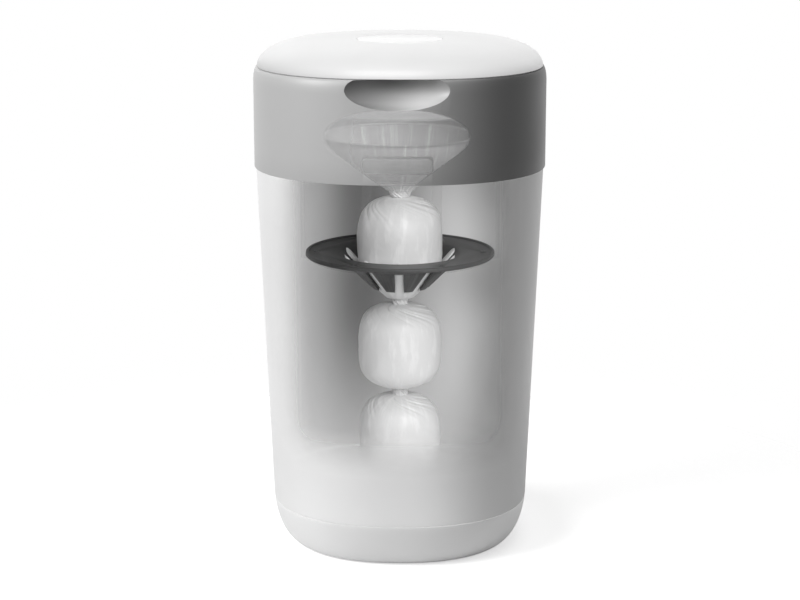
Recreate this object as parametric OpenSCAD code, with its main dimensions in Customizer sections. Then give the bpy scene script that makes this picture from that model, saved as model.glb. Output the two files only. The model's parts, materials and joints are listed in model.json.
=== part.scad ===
// Nappy bin with a twisting film cassette.
// A tapered tub carries a hinged collar. The collar holds the deck, the turning ring
// with its film cassette, and the gripper that hangs below it. A hinged lid closes the top.
// Origin: centre of the flat foot. +Z up, the front faces -Y. Millimetres.

/* [Plan outline] */
// Squareness of the plan outline, 2 is a circle
plan_power = 2.3; // [2:0.05:2.8]
// Points round each moulded shell
plan_points = 64; // [48:8:80]

/* [Tub] */
// Width of the flat foot
foot_w = 181; // [170:1:195]
// Width of the tub where the heel's rounding ends
heel_w = 228.4; // [222:0.2:232]
// Height of the heel's rounding
heel_h = 47.5; // [42:0.5:56]
// Width of the tub at its top
tub_w = 252; // [240:0.5:264]
// Height of the tub, from the foot to the collar
tub_h = 340; // [325:1:360]
// Height of the seam between base pan and tub
base_h = 39.7; // [32:0.1:41]
// Wall of the tub, the pan and the collar
wall = 2.5; // [2:0.1:3]
// Thickness of the pan's floor
floor_t = 3; // [2:0.1:4]
// Height of the pan's spigot inside the tub
spigot_h = 8; // [5:0.5:12]
// Thickness of the pan's spigot
spigot_t = 1.8; // [1.5:0.1:2.2]
// Width of the tub's inward rim
rim_w = 7; // [6:0.5:8]
// Height of the lip that centres the collar
lip_h = 2; // [1.5:0.1:2.5]
// Thickness of that lip
lip_t = 2.5; // [2:0.1:3]

/* [Collar] */
// Step of the collar's side out from the tub's side
collar_step = 1.5; // [1:0.25:3]
// Height of the collar
collar_h = 86; // [84:0.5:96]
// Height of the collar's rounded shoulder
shoulder_h = 12; // [8:0.5:16]
// Inset of the shoulder at the lid seam
shoulder_in = 3.2; // [2.5:0.1:4]
// Width of the collar's top flange
flange_w = 6.3; // [5:0.1:7]
// Radius of the bosses that hold the deck
boss_r = 4.5; // [4:0.1:5]
// Distance of the bosses in from the collar's wall
boss_in = 6.8; // [6:0.1:8]
// Half width of the finger scoop
scoop_half = 44; // [36:1:48]
// Radius of the finger scoop's section
scoop_r = 17.3; // [14:0.1:18]

/* [Lid] */
// Height of the lid's dome
dome_h = 23.3; // [20:0.1:28]
// Flatness of the dome, higher is flatter
dome_power = 5; // [4:0.5:7]
// Wall of the lid
lid_wall = 2.5; // [2:0.1:3]
// Step from the lid's side in to its inner tray
tray_in = 16.3; // [15.8:0.1:18]
// Depth of the tray below the lid seam
tray_depth = 14; // [13:0.1:15]
// Wall of the tray
tray_t = 2; // [1.6:0.1:2.4]
// Step from the tray's side in to the middle of the seal
seal_in = 5; // [4.5:0.1:6]
// Half width of the seal
seal_w = 3.5; // [3:0.1:4]
// Height of the seal
seal_h = 5; // [4:0.1:6]
// Radius of the round inlay on the lid
inlay_r = 37; // [30:1:40]
// Distance of the inlay in front of the dome's centre
inlay_front = 16; // [10:1:20]
// Depth of the inlay's seat
inlay_seat = 1.2; // [1:0.1:1.4]

/* [Hinges] */
// Radius of the hinge knuckles
knuckle_r = 4.2; // [3.8:0.1:4.4]
// Radius of the hinge pins
pin_r = 1.6; // [1.4:0.1:1.8]
// Half width of the middle knuckle
knuckle_half = 19.5; // [16:0.5:22]
// Width of each outer knuckle
ear_w = 12; // [9:0.5:14]

/* [Deck and turning ring] */
// Height of the deck above the tub
deck_lift = 6; // [5.5:0.1:7]
// Thickness of the deck
deck_t = 3; // [2.5:0.1:3.5]
// Room between the click teeth and the collar's wall
side_room = 25; // [24:0.5:27]
// Width of the click ring, from the ring's wall to the tips of its teeth
click_w = 7; // [6.5:0.1:7.5]
// Step from the ring's wall in to its bearing
ledge_w = 9; // [8:0.1:9.5]
// Width of the deck's lip inside the bearing
deck_lip = 4; // [3:0.1:5]
// Height of the bearing wall
bearing_h = 3.7; // [3.2:0.1:4.2]
// Thickness of the ring's floor
ring_floor_t = 2.5; // [2:0.1:3]
// Thickness of the ring's wall
ring_t = 2.5; // [2:0.1:3]
// Number of click teeth
teeth_n = 36; // [24:1:40]
// Height of the click teeth
teeth_h = 4; // [3:0.5:5]
// Lap of the top surround over the ring's wall
surround_lap = 1.5; // [1:0.1:2]
// Thickness of the top surround
surround_t = 3; // [2.5:0.1:3.5]

/* [Film cassette] */
// Room between the cassette and the ring's wall
cassette_room = 2.5; // [2:0.5:3]
// Width of the cassette, from its bore to its outside
cassette_w = 22; // [20:0.5:24]
// Wall of the cassette
cassette_t = 2; // [1.6:0.1:2.2]
// Height of the cassette
cassette_h = 40; // [36:0.5:42]
// Height of the cassette's inner lip below the film slot
slot_low = 6; // [5:0.5:8]
// Height of the film slot
slot_h = 4; // [3:0.5:5]
// Number of turning grips on the cassette's cover
grip_n = 8; // [6:1:10]
// Height of the turning grips
grip_h = 6; // [4:0.5:6.5]
// Step from the cassette's bore in to the film funnel's rim
funnel_in = 2; // [1.5:0.5:6]
// Depth of the film funnel, from the slot to its neck
funnel_depth = 48; // [44:0.5:50]
// Radius of the film where it is twisted shut
neck_r = 13; // [10:0.5:15]
// Thickness of the film's stand-in
film_t = 0.8; // [0.6:0.1:1]

/* [Gripper] */
// Overhang of the gripper dish beyond the deck's hole
dish_over = 4; // [3:0.5:5]
// Depth of the dish below the deck
dish_drop = 87; // [82:0.5:92]
// Wall of the dish
dish_t = 2.4; // [2:0.1:2.6]
// Width of the dish's brim
brim_w = 30; // [28:0.5:32]
// Depth of the dish's bowl
bowl_drop = 29; // [27:0.5:30]
// Radius of the bowl's open end
bowl_end_r = 25; // [23:0.5:27]
// Height of the raised rim bead
bead_h = 1.6; // [1.2:0.1:2]
// Number of gripper fingers
finger_n = 10; // [8:2:10]
// Width of each finger
finger_w = 7.5; // [6:0.1:7.5]
// Thickness of each finger
finger_t = 1.6; // [1.2:0.1:1.8]
// Step from the bowl's mouth in to the finger tips
tip_in = 3; // [3:0.5:5]
// Radius of the crown that joins the fingers
crown_r = 14; // [13:0.5:16]
// Step from the dish's edge in to its screws
dish_screw_in = 10; // [9:0.5:12]

/* [Wrapped nappies] */
// Radius of a wrapped nappy
nappy_r = 38.4; // [34:0.1:38.5]
// Height of a wrapped nappy below the gripper
nappy_h = 86; // [78:0.5:87]
// Radius of the twisted film between two nappies
twist_r = 7.5; // [6:0.1:8]
// Radius of the film's spread end on the pan's floor
tail_r = 15; // [12:0.5:20]

/* [Release button] */
// Width of the button's face
button_w = 56.6; // [50:0.1:58]
// Height of the button's face
button_h = 11.6; // [10:0.1:12]
// Height of the button's centre above the collar's lower edge
button_lift = 16; // [15.6:0.1:17]
// Travel of the button
button_travel = 2.5; // [2:0.1:2.6]
// How far the latch keeper stands in from the tub's rim
keeper_reach = 10; // [9:0.5:10.5]

/* [Film cutter] */
// Distance of the cutter's slot from the click teeth
cutter_off = 7.5; // [6.5:0.1:8.5]
// Travel of the cutter
cutter_travel = 40; // [30:1:44]
// Width of the cutter's slot
cutter_slot_w = 5; // [4.5:0.1:5.5]

/* [Fits and screws] */
// Gap between parts that slide or turn on each other
run_gap = 0.3; // [0.3:0.05:0.4]
// Radial clearance of a pin or screw in its hole
pin_gap = 0.05; // [0.03:0.01:0.08]
// Radial clearance of the ring in its bearing
bearing_gap = 0.1; // [0.06:0.01:0.1]
// Gap between the collar's wall and what sits inside it
side_gap = 0.5; // [0.4:0.1:0.6]
// Radius of a screw's shank
screw_r = 1.45; // [1.2:0.05:1.6]
// Radius of a screw's head
head_r = 2.8; // [2.5:0.1:3]
// Height of a screw's head
head_h = 1.6; // [1.4:0.1:1.8]
// Length of a screw in the boss that it is driven into
screw_bite = 10; // [8:0.5:12]

/* [Hidden] */

round_n = 96;
small_n = 32;
pin_n = 40;

foot_half = foot_w / 2;
heel_half = heel_w / 2;
tub_half = tub_w / 2;
collar_half = tub_half + collar_step;
collar_in = collar_half - wall;

// Heights, from the foot up
seam_gap = 0.4;
collar_z = tub_h;
seam_z = collar_z + collar_h;
lid_z = seam_z + run_gap;
lid_half = collar_half - shoulder_in;
lid_top = lid_z + dome_h;
deck_z = tub_h + deck_lift;
deck_top = deck_z + deck_t;
bearing_top = deck_top + bearing_h;
ring_z = bearing_top + run_gap;
ring_floor = ring_z + ring_floor_t;
cassette_top = ring_floor + cassette_h;
slot_z = ring_floor + slot_low;
funnel_z = slot_z + slot_h / 2;
boss_top = seam_z - tray_depth - seal_h - surround_t;
surround_top = boss_top + surround_t;
ring_top = boss_top - 2 * run_gap;
dish_z = deck_z - dish_drop;

// Radii of what turns, from the collar's wall in
teeth_r = collar_in - side_room;
ring_r = teeth_r - click_w;
ledge_r = ring_r + 2;
bearing_r = ring_r - ledge_w;
deck_hole_r = bearing_r - deck_lip;
surround_hole_r = ring_r - surround_lap;
cassette_out_r = ring_r - ring_t - cassette_room;
cassette_in_r = cassette_out_r - cassette_w;
funnel_r = cassette_in_r - funnel_in;

// Inner profile of the tub's mouth
lip_clear = 1;
lip_out = collar_in - lip_clear;
lip_in = lip_out - lip_t;
rim_in = tub_half - rim_w;
rim_t = 3;
rim_z = tub_h - run_gap;
gusset_h = 4;
gusset_z = rim_z - rim_t - gusset_h;

// Hinge axes, both behind the rear wall
knuckle_gap = 0.8;
collar_axis_y = collar_half + knuckle_gap + knuckle_r;
collar_axis_z = tub_h - 2;
lid_axis_y = lid_half + 1.5 + knuckle_r;
lid_axis_z = lid_z + 1.1;
ear_x = knuckle_half + run_gap + ear_w / 2;
ear_end = knuckle_half + run_gap + ear_w;
pin_half = ear_end + 1;
ear_root = wall / 4;
web_drop = 18;

// Screw places
corner_angles = [45, 135, 225, 315];
boss_reach = plan_reach(collar_in, corner_angles[0]) - boss_in;
tray_half = lid_half - tray_in;
seal_r = tray_half - seal_in;
lid_boss_reach = seal_r - seal_w - head_r - 2;
screw_room = 1;
hanger_angles = [30, 150, 210, 330];
leg_angles = [0, 68, 112, 180];
pawl_angles = [60, 240];

dish_screw_angles = [for (i = [0:5]) 60 * i];
finger_angles = [for (i = [0:finger_n - 1]) -90 + 360 * i / finger_n];

// Click pawls
pawl_base_r = teeth_r + 10.5;
pawl_base_y = -13;
pawl_base_h = 6;

// Gripper dish and the hanger that carries it
dish_r = deck_hole_r + dish_over;
bowl_r = dish_r - brim_w;
dish_screw_r = dish_r - dish_screw_in;
leg_in_r = dish_r + 0.7;
leg_t = 3.6;
leg_w = 9;
hanger_screw_r = leg_in_r + leg_t + head_r + 0.9;
hanger_ring_in = dish_screw_r - 5;
hanger_ring_out = dish_screw_r + 6;
hanger_t = 2.5;
hanger_foot_z = dish_z - dish_t - hanger_t;

// Gripper lines: the bowl's cone and the fingers' cone run side by side
finger_tip_r = bowl_r - tip_in;
bowl_slope = bowl_drop / (bowl_r - bowl_end_r);
finger_rise = 0.9;
finger_slope = (bowl_drop + 8.5) / (finger_tip_r - crown_r);
finger_tip_z = dish_z - finger_rise;
crown_z = finger_tip_z - (finger_tip_r - crown_r) * finger_slope;
crown_top_r = crown_r + 5.5;
finger_lift = finger_t / 2 * sqrt(1 + finger_slope * finger_slope);
soft_gap = 0.6;

// Chain of wrapped nappies, from the gripper down
parcel_power = 4;
parcel_steps = 22;
parcel_neck = 3;
funnel_end_z = funnel_z - funnel_depth;
chain_gap = 0.5;
crown_lift = 1.15 * finger_lift;
upper_bottom = crown_z - crown_lift;
middle_top = upper_bottom - chain_gap;
middle_bottom = middle_top - nappy_h;
lower_bottom = middle_bottom - nappy_h;

// Release button
button_z = collar_z + button_lift;
button_out = 0.4;
button_flange = 1.7;
button_back = collar_in - run_gap - 2;
button_web_t = 2.5;
button_web_z = button_z - button_h / 2 - button_flange + 0.2;
keeper_half = 14;
keeper_h = 12;
keeper_face = plan_depth(rim_in, keeper_half) - keeper_reach;
arm_half = 10;
arm_t = 2.2;
arm_y = keeper_face - run_gap;
arm_low = rim_z - rim_t - keeper_h / 2;
notch_y = arm_y - arm_t - button_travel - run_gap;
notch_side = 5;
bracket_t = 2;
bracket_y = notch_y - run_gap;
bracket_half = 9;
spring_r = 4;
wire_r = 0.6;
spring_turns = 6;

// Film cutter
cutter_reach = teeth_r + cutter_off;
cutter_stem = 14;
cutter_y = cutter_travel / 2;
knob_w = 12;
knob_l = 20;
knob_h = 9;
blade_t = 0.6;
cutter_notch_z = deck_z - run_gap - 5;

// ---------- outline and shell helpers ----------

function signed_power(v, e) = sign(v) * pow(abs(v), e);

// One ring of the rounded-square plan: half width h at height z
function plan_ring(h, z) = [
    for (i = [0:plan_points - 1])
        let (t = 360 * i / plan_points)
        [h * signed_power(cos(t), 2 / plan_power), h * signed_power(sin(t), 2 / plan_power), z]
];

function plan_outline(h) = [for (p = plan_ring(h, 0)) [p[0], p[1]]];

// Distance from the axis to the plan outline of half width h, in direction a
function plan_reach(h, a) =
    h / pow(pow(abs(cos(a)), plan_power) + pow(abs(sin(a)), plan_power), 1 / plan_power);

// Half depth of the plan outline of half width h, at a distance x from the middle
function plan_depth(h, x) = h * pow(1 - pow(x / h, plan_power), 1 / plan_power);

// Shell whose section is a list of [half width, height], round the plan outline
module plan_loft(section, closed = false) {
    m = len(section);
    points = [for (s = section) each plan_ring(s[0], s[1])];
    sides = [
        for (k = [0:(closed ? m - 1 : m - 2)])
            for (i = [0:plan_points - 1])
                let (
                    j = (i + 1) % plan_points,
                    low = k * plan_points,
                    high = ((k + 1) % m) * plan_points
                )
                each [[low + i, high + i, high + j], [low + i, high + j, low + j]]
    ];
    caps = closed ? [] : [
        [for (i = [0:plan_points - 1]) i],
        [for (i = [plan_points - 1:-1:0]) (m - 1) * plan_points + i]
    ];
    polyhedron(points, concat(sides, caps));
}

// Flat plate of the plan outline
module plan_plate(h, z, t) {
    translate([0, 0, z])
        linear_extrude(t)
            polygon(plan_outline(h));
}

// Ring of rectangular section about Z
module round_ring(r_in, r_out, z, h) {
    rotate_extrude($fn = round_n)
        polygon([[r_in, z], [r_out, z], [r_out, z + h], [r_in, z + h]]);
}

module post(r, z, h) {
    translate([0, 0, z])
        cylinder(r = r, h = h, $fn = small_n);
}

// Copies of the children at a reach from the axis, in the given directions
module at_angles(angles, reach) {
    for (a = angles)
        rotate([0, 0, a])
            translate([reach, 0, 0])
                children();
}

// Outline with rounded ends, in the XY plane
module rounded_plate(w, h, t, r) {
    linear_extrude(t)
        hull() {
            for (x = [-1, 1])
                for (y = [-1, 1])
                    translate([x * (w / 2 - r), y * (h / 2 - r)])
                        circle(r = r, $fn = small_n);
        }
}

// ---------- tub ----------

// Outer half width of the tub at height z
function tub_at(z) = z < heel_h
    ? foot_half + (heel_half - foot_half) * sqrt(1 - pow((heel_h - z) / heel_h, 2))
    : heel_half + (tub_half - heel_half) * (z - heel_h) / (tub_h - heel_h);

module tub_shell() {
    bottom = base_h + seam_gap;
    section = [
        [tub_at(bottom), bottom],
        [tub_at((bottom + heel_h) / 2), (bottom + heel_h) / 2],
        [tub_at(heel_h), heel_h],
        [tub_at(tub_h * 0.4), tub_h * 0.4],
        [tub_at(tub_h * 0.7), tub_h * 0.7],
        [tub_at(rim_z - 1), rim_z - 1],
        [tub_half - 0.8, rim_z],
        [lip_out, rim_z],
        [lip_out, tub_h + lip_h],
        [lip_in, tub_h + lip_h],
        [lip_in, rim_z],
        [rim_in, rim_z],
        [rim_in, rim_z - rim_t],
        [tub_at(gusset_z) - wall, gusset_z],
        [tub_at(tub_h * 0.7) - wall, tub_h * 0.7],
        [tub_at(tub_h * 0.4) - wall, tub_h * 0.4],
        [tub_at(heel_h) - wall, heel_h],
        [tub_at(bottom) - wall, bottom]
    ];
    color([0.9, 0.9, 0.9])
        difference() {
            union() {
                plan_loft(section, closed = true);
                for (side = [-1, 1])
                    hinge_block(side * ear_x, ear_w, collar_axis_y, collar_axis_z)
                        tub_ear_web();
            }
            hinge_bore(collar_axis_y, collar_axis_z);
        }
}

// Web from the tub's rear wall out to the knuckle, in the YZ plane
module tub_ear_web() {
    low = collar_axis_z - web_drop;
    polygon([
        [plan_depth(tub_at(low), ear_end) - ear_root, low],
        [plan_depth(tub_at(rim_z - 1.2), ear_end) - ear_root, rim_z - 1.2],
        [collar_half + 0.4, rim_z - 1.2],
        [collar_axis_y, collar_axis_z + knuckle_r - 0.6],
        [collar_axis_y + knuckle_r - 0.4, collar_axis_z - 1.5],
        [collar_axis_y + 1.5, collar_axis_z - knuckle_r]
    ]);
}

// One knuckle of width w with its web, centred at x
module hinge_block(x, w, axis_y, axis_z) {
    translate([x - w / 2, 0, 0])
        rotate([90, 0, 90])
            linear_extrude(w)
                children();
    translate([x - w / 2, axis_y, axis_z])
        rotate([0, 90, 0])
            cylinder(r = knuckle_r, h = w, $fn = pin_n);
}

module hinge_bore(axis_y, axis_z) {
    translate([-pin_half - 1, axis_y, axis_z])
        rotate([0, 90, 0])
            cylinder(r = pin_r + pin_gap, h = 2 * pin_half + 2, $fn = pin_n);
}

module hinge_pin(axis_y, axis_z) {
    translate([-pin_half, axis_y, axis_z])
        rotate([0, 90, 0])
            cylinder(r = pin_r, h = 2 * pin_half, $fn = pin_n);
}

module base_pan() {
    spigot_out = tub_at(base_h) - wall - side_gap / 2;
    spigot_in = spigot_out - spigot_t;
    foot_in = foot_half - wall;
    steps = 8;
    outer_end = acos(1 - base_h / heel_h);
    inner_end = asin((spigot_in - foot_in) / (heel_half - foot_half));
    section = concat(
        [for (k = [0:steps]) let (a = outer_end * k / steps)
            [foot_half + (heel_half - foot_half) * sin(a), heel_h * (1 - cos(a))]],
        [
            [spigot_out, base_h],
            [spigot_out, base_h + spigot_h],
            [spigot_in, base_h + spigot_h]
        ],
        [for (k = [steps:-1:0]) let (a = inner_end * k / steps)
            [foot_in + (heel_half - foot_half) * sin(a), floor_t + heel_h * (1 - cos(a))]]
    );
    color([0.88, 0.88, 0.88])
        plan_loft(section);
}

// Height of the underside of the rim's gusset at depth y
function rim_under(y) =
    rim_z - rim_t - gusset_h * (y - rim_in) / (tub_at(gusset_z) - wall - rim_in);

// Catch under the tub's rim, behind which the latch arm sits
module latch_keeper() {
    low = rim_z - rim_t - keeper_h;
    groove = 1.2;
    groove_z = low + keeper_h / 4;
    sag = rim_in - plan_depth(rim_in, keeper_half);
    back = tub_at(low) - wall - sag - run_gap;
    gap = sag + pin_gap;
    color([0.75, 0.75, 0.75])
        translate([-keeper_half, 0, 0])
            rotate([90, 0, 90])
                linear_extrude(2 * keeper_half)
                    polygon([
                        [-back, low],
                        [-keeper_face, low],
                        [-keeper_face, groove_z],
                        [-keeper_face - groove, groove_z + groove],
                        [-keeper_face - groove, groove_z + 2 * groove],
                        [-keeper_face, groove_z + 3 * groove],
                        [-keeper_face, rim_z - rim_t - gap],
                        [sag - rim_in, rim_z - rim_t - gap],
                        [-back, rim_under(back) - gap]
                    ]);
}

module collar_hinge_pin() {
    color([0.7, 0.7, 0.72])
        hinge_pin(collar_axis_y, collar_axis_z);
}

// ---------- collar ----------

module collar_solid(inset = 0) {
    steps = 5;
    plan_loft(concat(
        [[collar_half - inset, collar_z]],
        [for (k = [0:steps]) let (a = 90 * k / steps)
            [collar_half - inset - shoulder_in * (1 - cos(a)), seam_z - shoulder_h + shoulder_h * sin(a)]]
    ));
}

module collar_shell() {
    steps = 5;
    plan_loft(concat(
        [[collar_half, collar_z]],
        [for (k = [0:steps]) let (a = 90 * k / steps)
            [collar_half - shoulder_in * (1 - cos(a)), seam_z - shoulder_h + shoulder_h * sin(a)]],
        [
            [lid_half - flange_w, seam_z],
            [lid_half - flange_w, seam_z - wall],
            [lid_half - wall, seam_z - wall],
            [collar_in, seam_z - wall - shoulder_h * 0.6],
            [collar_in, collar_z]
        ]
    ), closed = true);
}

// Lens-shaped body of the finger scoop, grown by g on its section
module scoop_body(g = 0) {
    r = scoop_r + g;
    half = scoop_half + g;
    translate([0, -collar_half - 3.5, seam_z - 7.6])
        rotate([0, 90, 0])
            rotate_extrude($fn = round_n)
                polygon([for (t = [-90:10:90]) [r * cos(t), half * sin(t)]]);
}

// Boss that the deck is screwed to, with the rib that joins it to the collar's wall
module collar_boss() {
    rib_t = 2.4;
    post(boss_r, deck_top, boss_top - deck_top);
    translate([0, -rib_t / 2, deck_top])
        cube([plan_reach(collar_half, corner_angles[0]) - boss_reach, rib_t, boss_top - deck_top]);
}

module collar_housing() {
    color([0.62, 0.62, 0.62])
        difference() {
            union() {
                collar_shell();
                intersection() {
                    collar_solid();
                    scoop_body(wall);
                }
                intersection() {
                    at_angles(corner_angles, boss_reach)
                        collar_boss();
                    collar_solid(wall / 2);
                }
                hinge_block(0, 2 * knuckle_half, collar_axis_y, collar_axis_z)
                    collar_knuckle_web();
                for (side = [-1, 1])
                    hinge_block(side * ear_x, ear_w, lid_axis_y, lid_axis_z)
                        lid_ear_web();
            }
            scoop_body();
            at_angles(corner_angles, boss_reach)
                post(screw_r + pin_gap, deck_top - 1, screw_bite + screw_room + 2);
            hinge_bore(collar_axis_y, collar_axis_z);
            hinge_bore(lid_axis_y, lid_axis_z);
            button_prism(run_gap, collar_half + 5, collar_in - 6);
        }
}

// Web from the collar's rear wall down to the middle knuckle, in the YZ plane
module collar_knuckle_web() {
    root = plan_depth(collar_half, knuckle_half) - ear_root;
    polygon([
        [root, collar_z + 1.5],
        [root, collar_z + web_drop],
        [collar_axis_y + knuckle_r - 0.6, collar_axis_z + 2],
        [collar_axis_y + 1, collar_axis_z],
        [collar_axis_y - knuckle_r + 0.6, collar_axis_z + 1.5]
    ]);
}

// Web from the collar's rear shoulder up to the lid's outer knuckles, in the YZ plane
module lid_ear_web() {
    root = plan_depth(collar_half, ear_end) - ear_root;
    polygon([
        [root, seam_z - shoulder_h - 6],
        [root, seam_z - shoulder_h],
        [lid_axis_y - knuckle_r + 0.5, lid_axis_z - 1],
        [lid_axis_y, lid_axis_z],
        [lid_axis_y + knuckle_r - 0.3, lid_axis_z - 1]
    ]);
}

module top_surround() {
    color([0.85, 0.85, 0.85])
        difference() {
            plan_plate(collar_in - side_gap, boss_top, surround_t);
            translate([0, 0, boss_top - 1])
                cylinder(r = surround_hole_r, h = surround_t + 2, $fn = round_n);
            scoop_body(wall + side_gap);
        }
}

module deck() {
    slot_len = cutter_travel + cutter_stem + 2 * run_gap;
    color([0.7, 0.7, 0.7])
        difference() {
            union() {
                plan_plate(collar_in - side_gap, deck_z, deck_t);
                round_ring(bearing_r, bearing_r + 3, deck_top - 1, bearing_h + 1);
                translate([-bracket_half, -bracket_y, deck_top - 1])
                    cube([2 * bracket_half, bracket_t, button_z + spring_r + 1 - deck_top + 1]);
            }
            translate([0, 0, deck_z - 1])
                cylinder(r = deck_hole_r, h = deck_t + 2, $fn = round_n);
            translate([-button_w / 2 - notch_side, -collar_half, deck_z - 1])
                cube([button_w + 2 * notch_side, collar_half - notch_y, deck_t + 2]);
            translate([cutter_reach - cutter_slot_w / 2, -slot_len / 2, deck_z - 1])
                cube([cutter_slot_w, slot_len, deck_t + 2]);
            at_angles(corner_angles, boss_reach)
                post(screw_r + pin_gap, deck_z - 1, deck_t + 2);
            at_angles(hanger_angles, hanger_screw_r)
                post(screw_r + pin_gap, deck_z - 1, deck_t + 2);
            at_angles(pawl_angles, pawl_base_r)
                translate([0, pawl_base_y, 0])
                    post(screw_r + pin_gap, deck_z - 1, deck_t + 2);
        }
}

module deck_screws() {
    color([0.6, 0.6, 0.62])
        at_angles(corner_angles, boss_reach) {
            post(head_r, deck_z - head_h, head_h);
            post(screw_r, deck_z - head_h / 2, deck_t + screw_bite + head_h / 2);
        }
}

// ---------- lid ----------

function dome_at(h, half, z, rise) = z + rise * sqrt(max(0, 1 - pow(h / half, dome_power)));

// Angle steps of the dome's section, denser at the edge
dome_steps = [1, 0.985, 0.95, 0.9, 0.82, 0.7, 0.52, 0.3];

module lid_solid(inset, rise) {
    half = lid_half - inset;
    plan_loft([for (s = dome_steps) [half * s, dome_at(half * s, half, lid_z, rise)]]);
}

module lid_shell() {
    in_half = lid_half - lid_wall;
    in_rise = dome_h - lid_wall;
    n = len(dome_steps);
    boss_low = lid_z - tray_depth + tray_t;
    boss_edge = (lid_boss_reach + boss_r) / plan_reach(1, corner_angles[0]);
    boss_high = dome_at(boss_edge, lid_half, lid_z, dome_h) - lid_wall / 2;
    section = concat(
        [for (k = [n - 1:-1:0])
            [in_half * dome_steps[k], dome_at(in_half * dome_steps[k], in_half, lid_z, in_rise)]],
        [for (s = dome_steps) [lid_half * s, dome_at(lid_half * s, lid_half, lid_z, dome_h)]]
    );
    color([0.95, 0.95, 0.95])
        difference() {
            union() {
                plan_loft(section);
                at_angles(corner_angles, lid_boss_reach)
                    post(boss_r, boss_low, boss_high - boss_low);
                hinge_block(0, 2 * knuckle_half, lid_axis_y, lid_axis_z)
                    lid_knuckle_web();
            }
            at_angles(corner_angles, lid_boss_reach)
                post(screw_r + pin_gap, lid_z - tray_depth, tray_t + screw_bite + screw_room);
            hinge_bore(lid_axis_y, lid_axis_z);
            translate([0, -inlay_front, lid_top - inlay_seat])
                cylinder(r = inlay_r + run_gap, h = inlay_seat + 1, $fn = round_n);
        }
}

module lid_knuckle_web() {
    polygon([
        [lid_half - 2, lid_axis_z - 0.7],
        [lid_half - 2, lid_axis_z + knuckle_r - 0.4],
        [lid_axis_y, lid_axis_z + knuckle_r - 0.1],
        [lid_axis_y + 1, lid_axis_z],
        [lid_axis_y - knuckle_r + 0.5, lid_axis_z - 0.7]
    ]);
}

// Shallow tray that closes the lid from below and carries the seal
module lid_tray() {
    rim_half = lid_half - lid_wall - side_gap - 1;
    bottom = lid_z - tray_depth;
    brim_z = lid_z + 0.6;
    section = [
        [tray_half - 3, bottom],
        [tray_half, bottom + 3],
        [tray_half, brim_z],
        [rim_half, brim_z],
        [rim_half, brim_z + tray_t],
        [tray_half - tray_t, brim_z + tray_t],
        [tray_half - tray_t, bottom + 3 + 0.6],
        [tray_half - 3.4, bottom + tray_t]
    ];
    color([0.85, 0.85, 0.85])
        difference() {
            plan_loft(section);
            at_angles(corner_angles, lid_boss_reach)
                post(screw_r + pin_gap, bottom - 1, tray_t + 2);
        }
}

module lid_screws() {
    bottom = lid_z - tray_depth;
    color([0.6, 0.6, 0.62])
        at_angles(corner_angles, lid_boss_reach) {
            post(head_r, bottom - head_h, head_h);
            post(screw_r, bottom - head_h / 2, tray_t + screw_bite + head_h / 2);
        }
}

// Round soft ring under the tray, resting on the surround
module lid_seal() {
    top = lid_z - tray_depth;
    band = seal_h * 0.45;
    lip = seal_w / 6;
    color([0.35, 0.35, 0.35])
        rotate_extrude($fn = round_n)
            polygon([
                [seal_r - seal_w, top],
                [seal_r - seal_w, top - band],
                [seal_r - lip, top - seal_h],
                [seal_r + lip, top - seal_h],
                [seal_r + seal_w, top - band],
                [seal_r + seal_w, top]
            ]);
}

module lid_inlay() {
    h = inlay_seat + 0.1;
    edge = 0.4;
    color([1, 1, 1])
        translate([0, -inlay_front, lid_top - inlay_seat])
            rotate_extrude($fn = round_n)
                polygon([[0, 0], [inlay_r, 0], [inlay_r, h - edge], [inlay_r - edge, h], [0, h]]);
}

module lid_hinge_pin() {
    color([0.7, 0.7, 0.72])
        hinge_pin(lid_axis_y, lid_axis_z);
}

// ---------- turning ring ----------

module turning_ring() {
    spigot_out_r = bearing_r - bearing_gap;
    color([0.78, 0.78, 0.78])
        rotate_extrude($fn = round_n)
            polygon([
                [cassette_in_r + 4, ring_z],
                [spigot_out_r - 3, ring_z],
                [spigot_out_r - 3, deck_top + 1],
                [spigot_out_r, deck_top + 1],
                [spigot_out_r, ring_z],
                [ledge_r, ring_z],
                [ledge_r, ring_floor],
                [ring_r, ring_floor],
                [ring_r, ring_top],
                [ring_r - ring_t, ring_top],
                [ring_r - ring_t, ring_floor],
                [cassette_in_r + 4, ring_floor]
            ]);
}

// Saw-toothed ring round the turning ring
module click_ring() {
    root_r = teeth_r - 2.5;
    color([0.5, 0.5, 0.5])
        translate([0, 0, ring_floor])
            difference() {
                linear_extrude(teeth_h)
                    polygon([
                        for (i = [0:teeth_n - 1])
                            let (a = 360 * i / teeth_n, b = 360 * (i + 0.12) / teeth_n)
                            each [[root_r * cos(a), root_r * sin(a)], [teeth_r * cos(b), teeth_r * sin(b)]]
                    ]);
                translate([0, 0, -1])
                    cylinder(r = ring_r + pin_gap, h = teeth_h + 2, $fn = round_n);
            }
}

// Springy click arms fixed to the deck beside the teeth
module click_pawls() {
    tip = teeth_r + run_gap;
    arm = pawl_base_r - 5;
    low_y = pawl_base_y - 5;
    color([0.4, 0.4, 0.4])
        for (a = pawl_angles)
            rotate([0, 0, a])
                difference() {
                    union() {
                        translate([arm, low_y, deck_top])
                            cube([9.5, 10, pawl_base_h]);
                        translate([0, 0, deck_top + run_gap])
                            linear_extrude(ring_floor + teeth_h - deck_top - run_gap)
                                polygon([
                                    [arm, low_y], [arm + 1.8, low_y],
                                    [arm + 1.6, 12], [arm, 12], [tip, 10.5], [arm, 6]
                                ]);
                    }
                    translate([pawl_base_r, pawl_base_y, 0])
                        post(screw_r + pin_gap, deck_top - 1, pawl_base_h + 2);
                }
}

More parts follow.
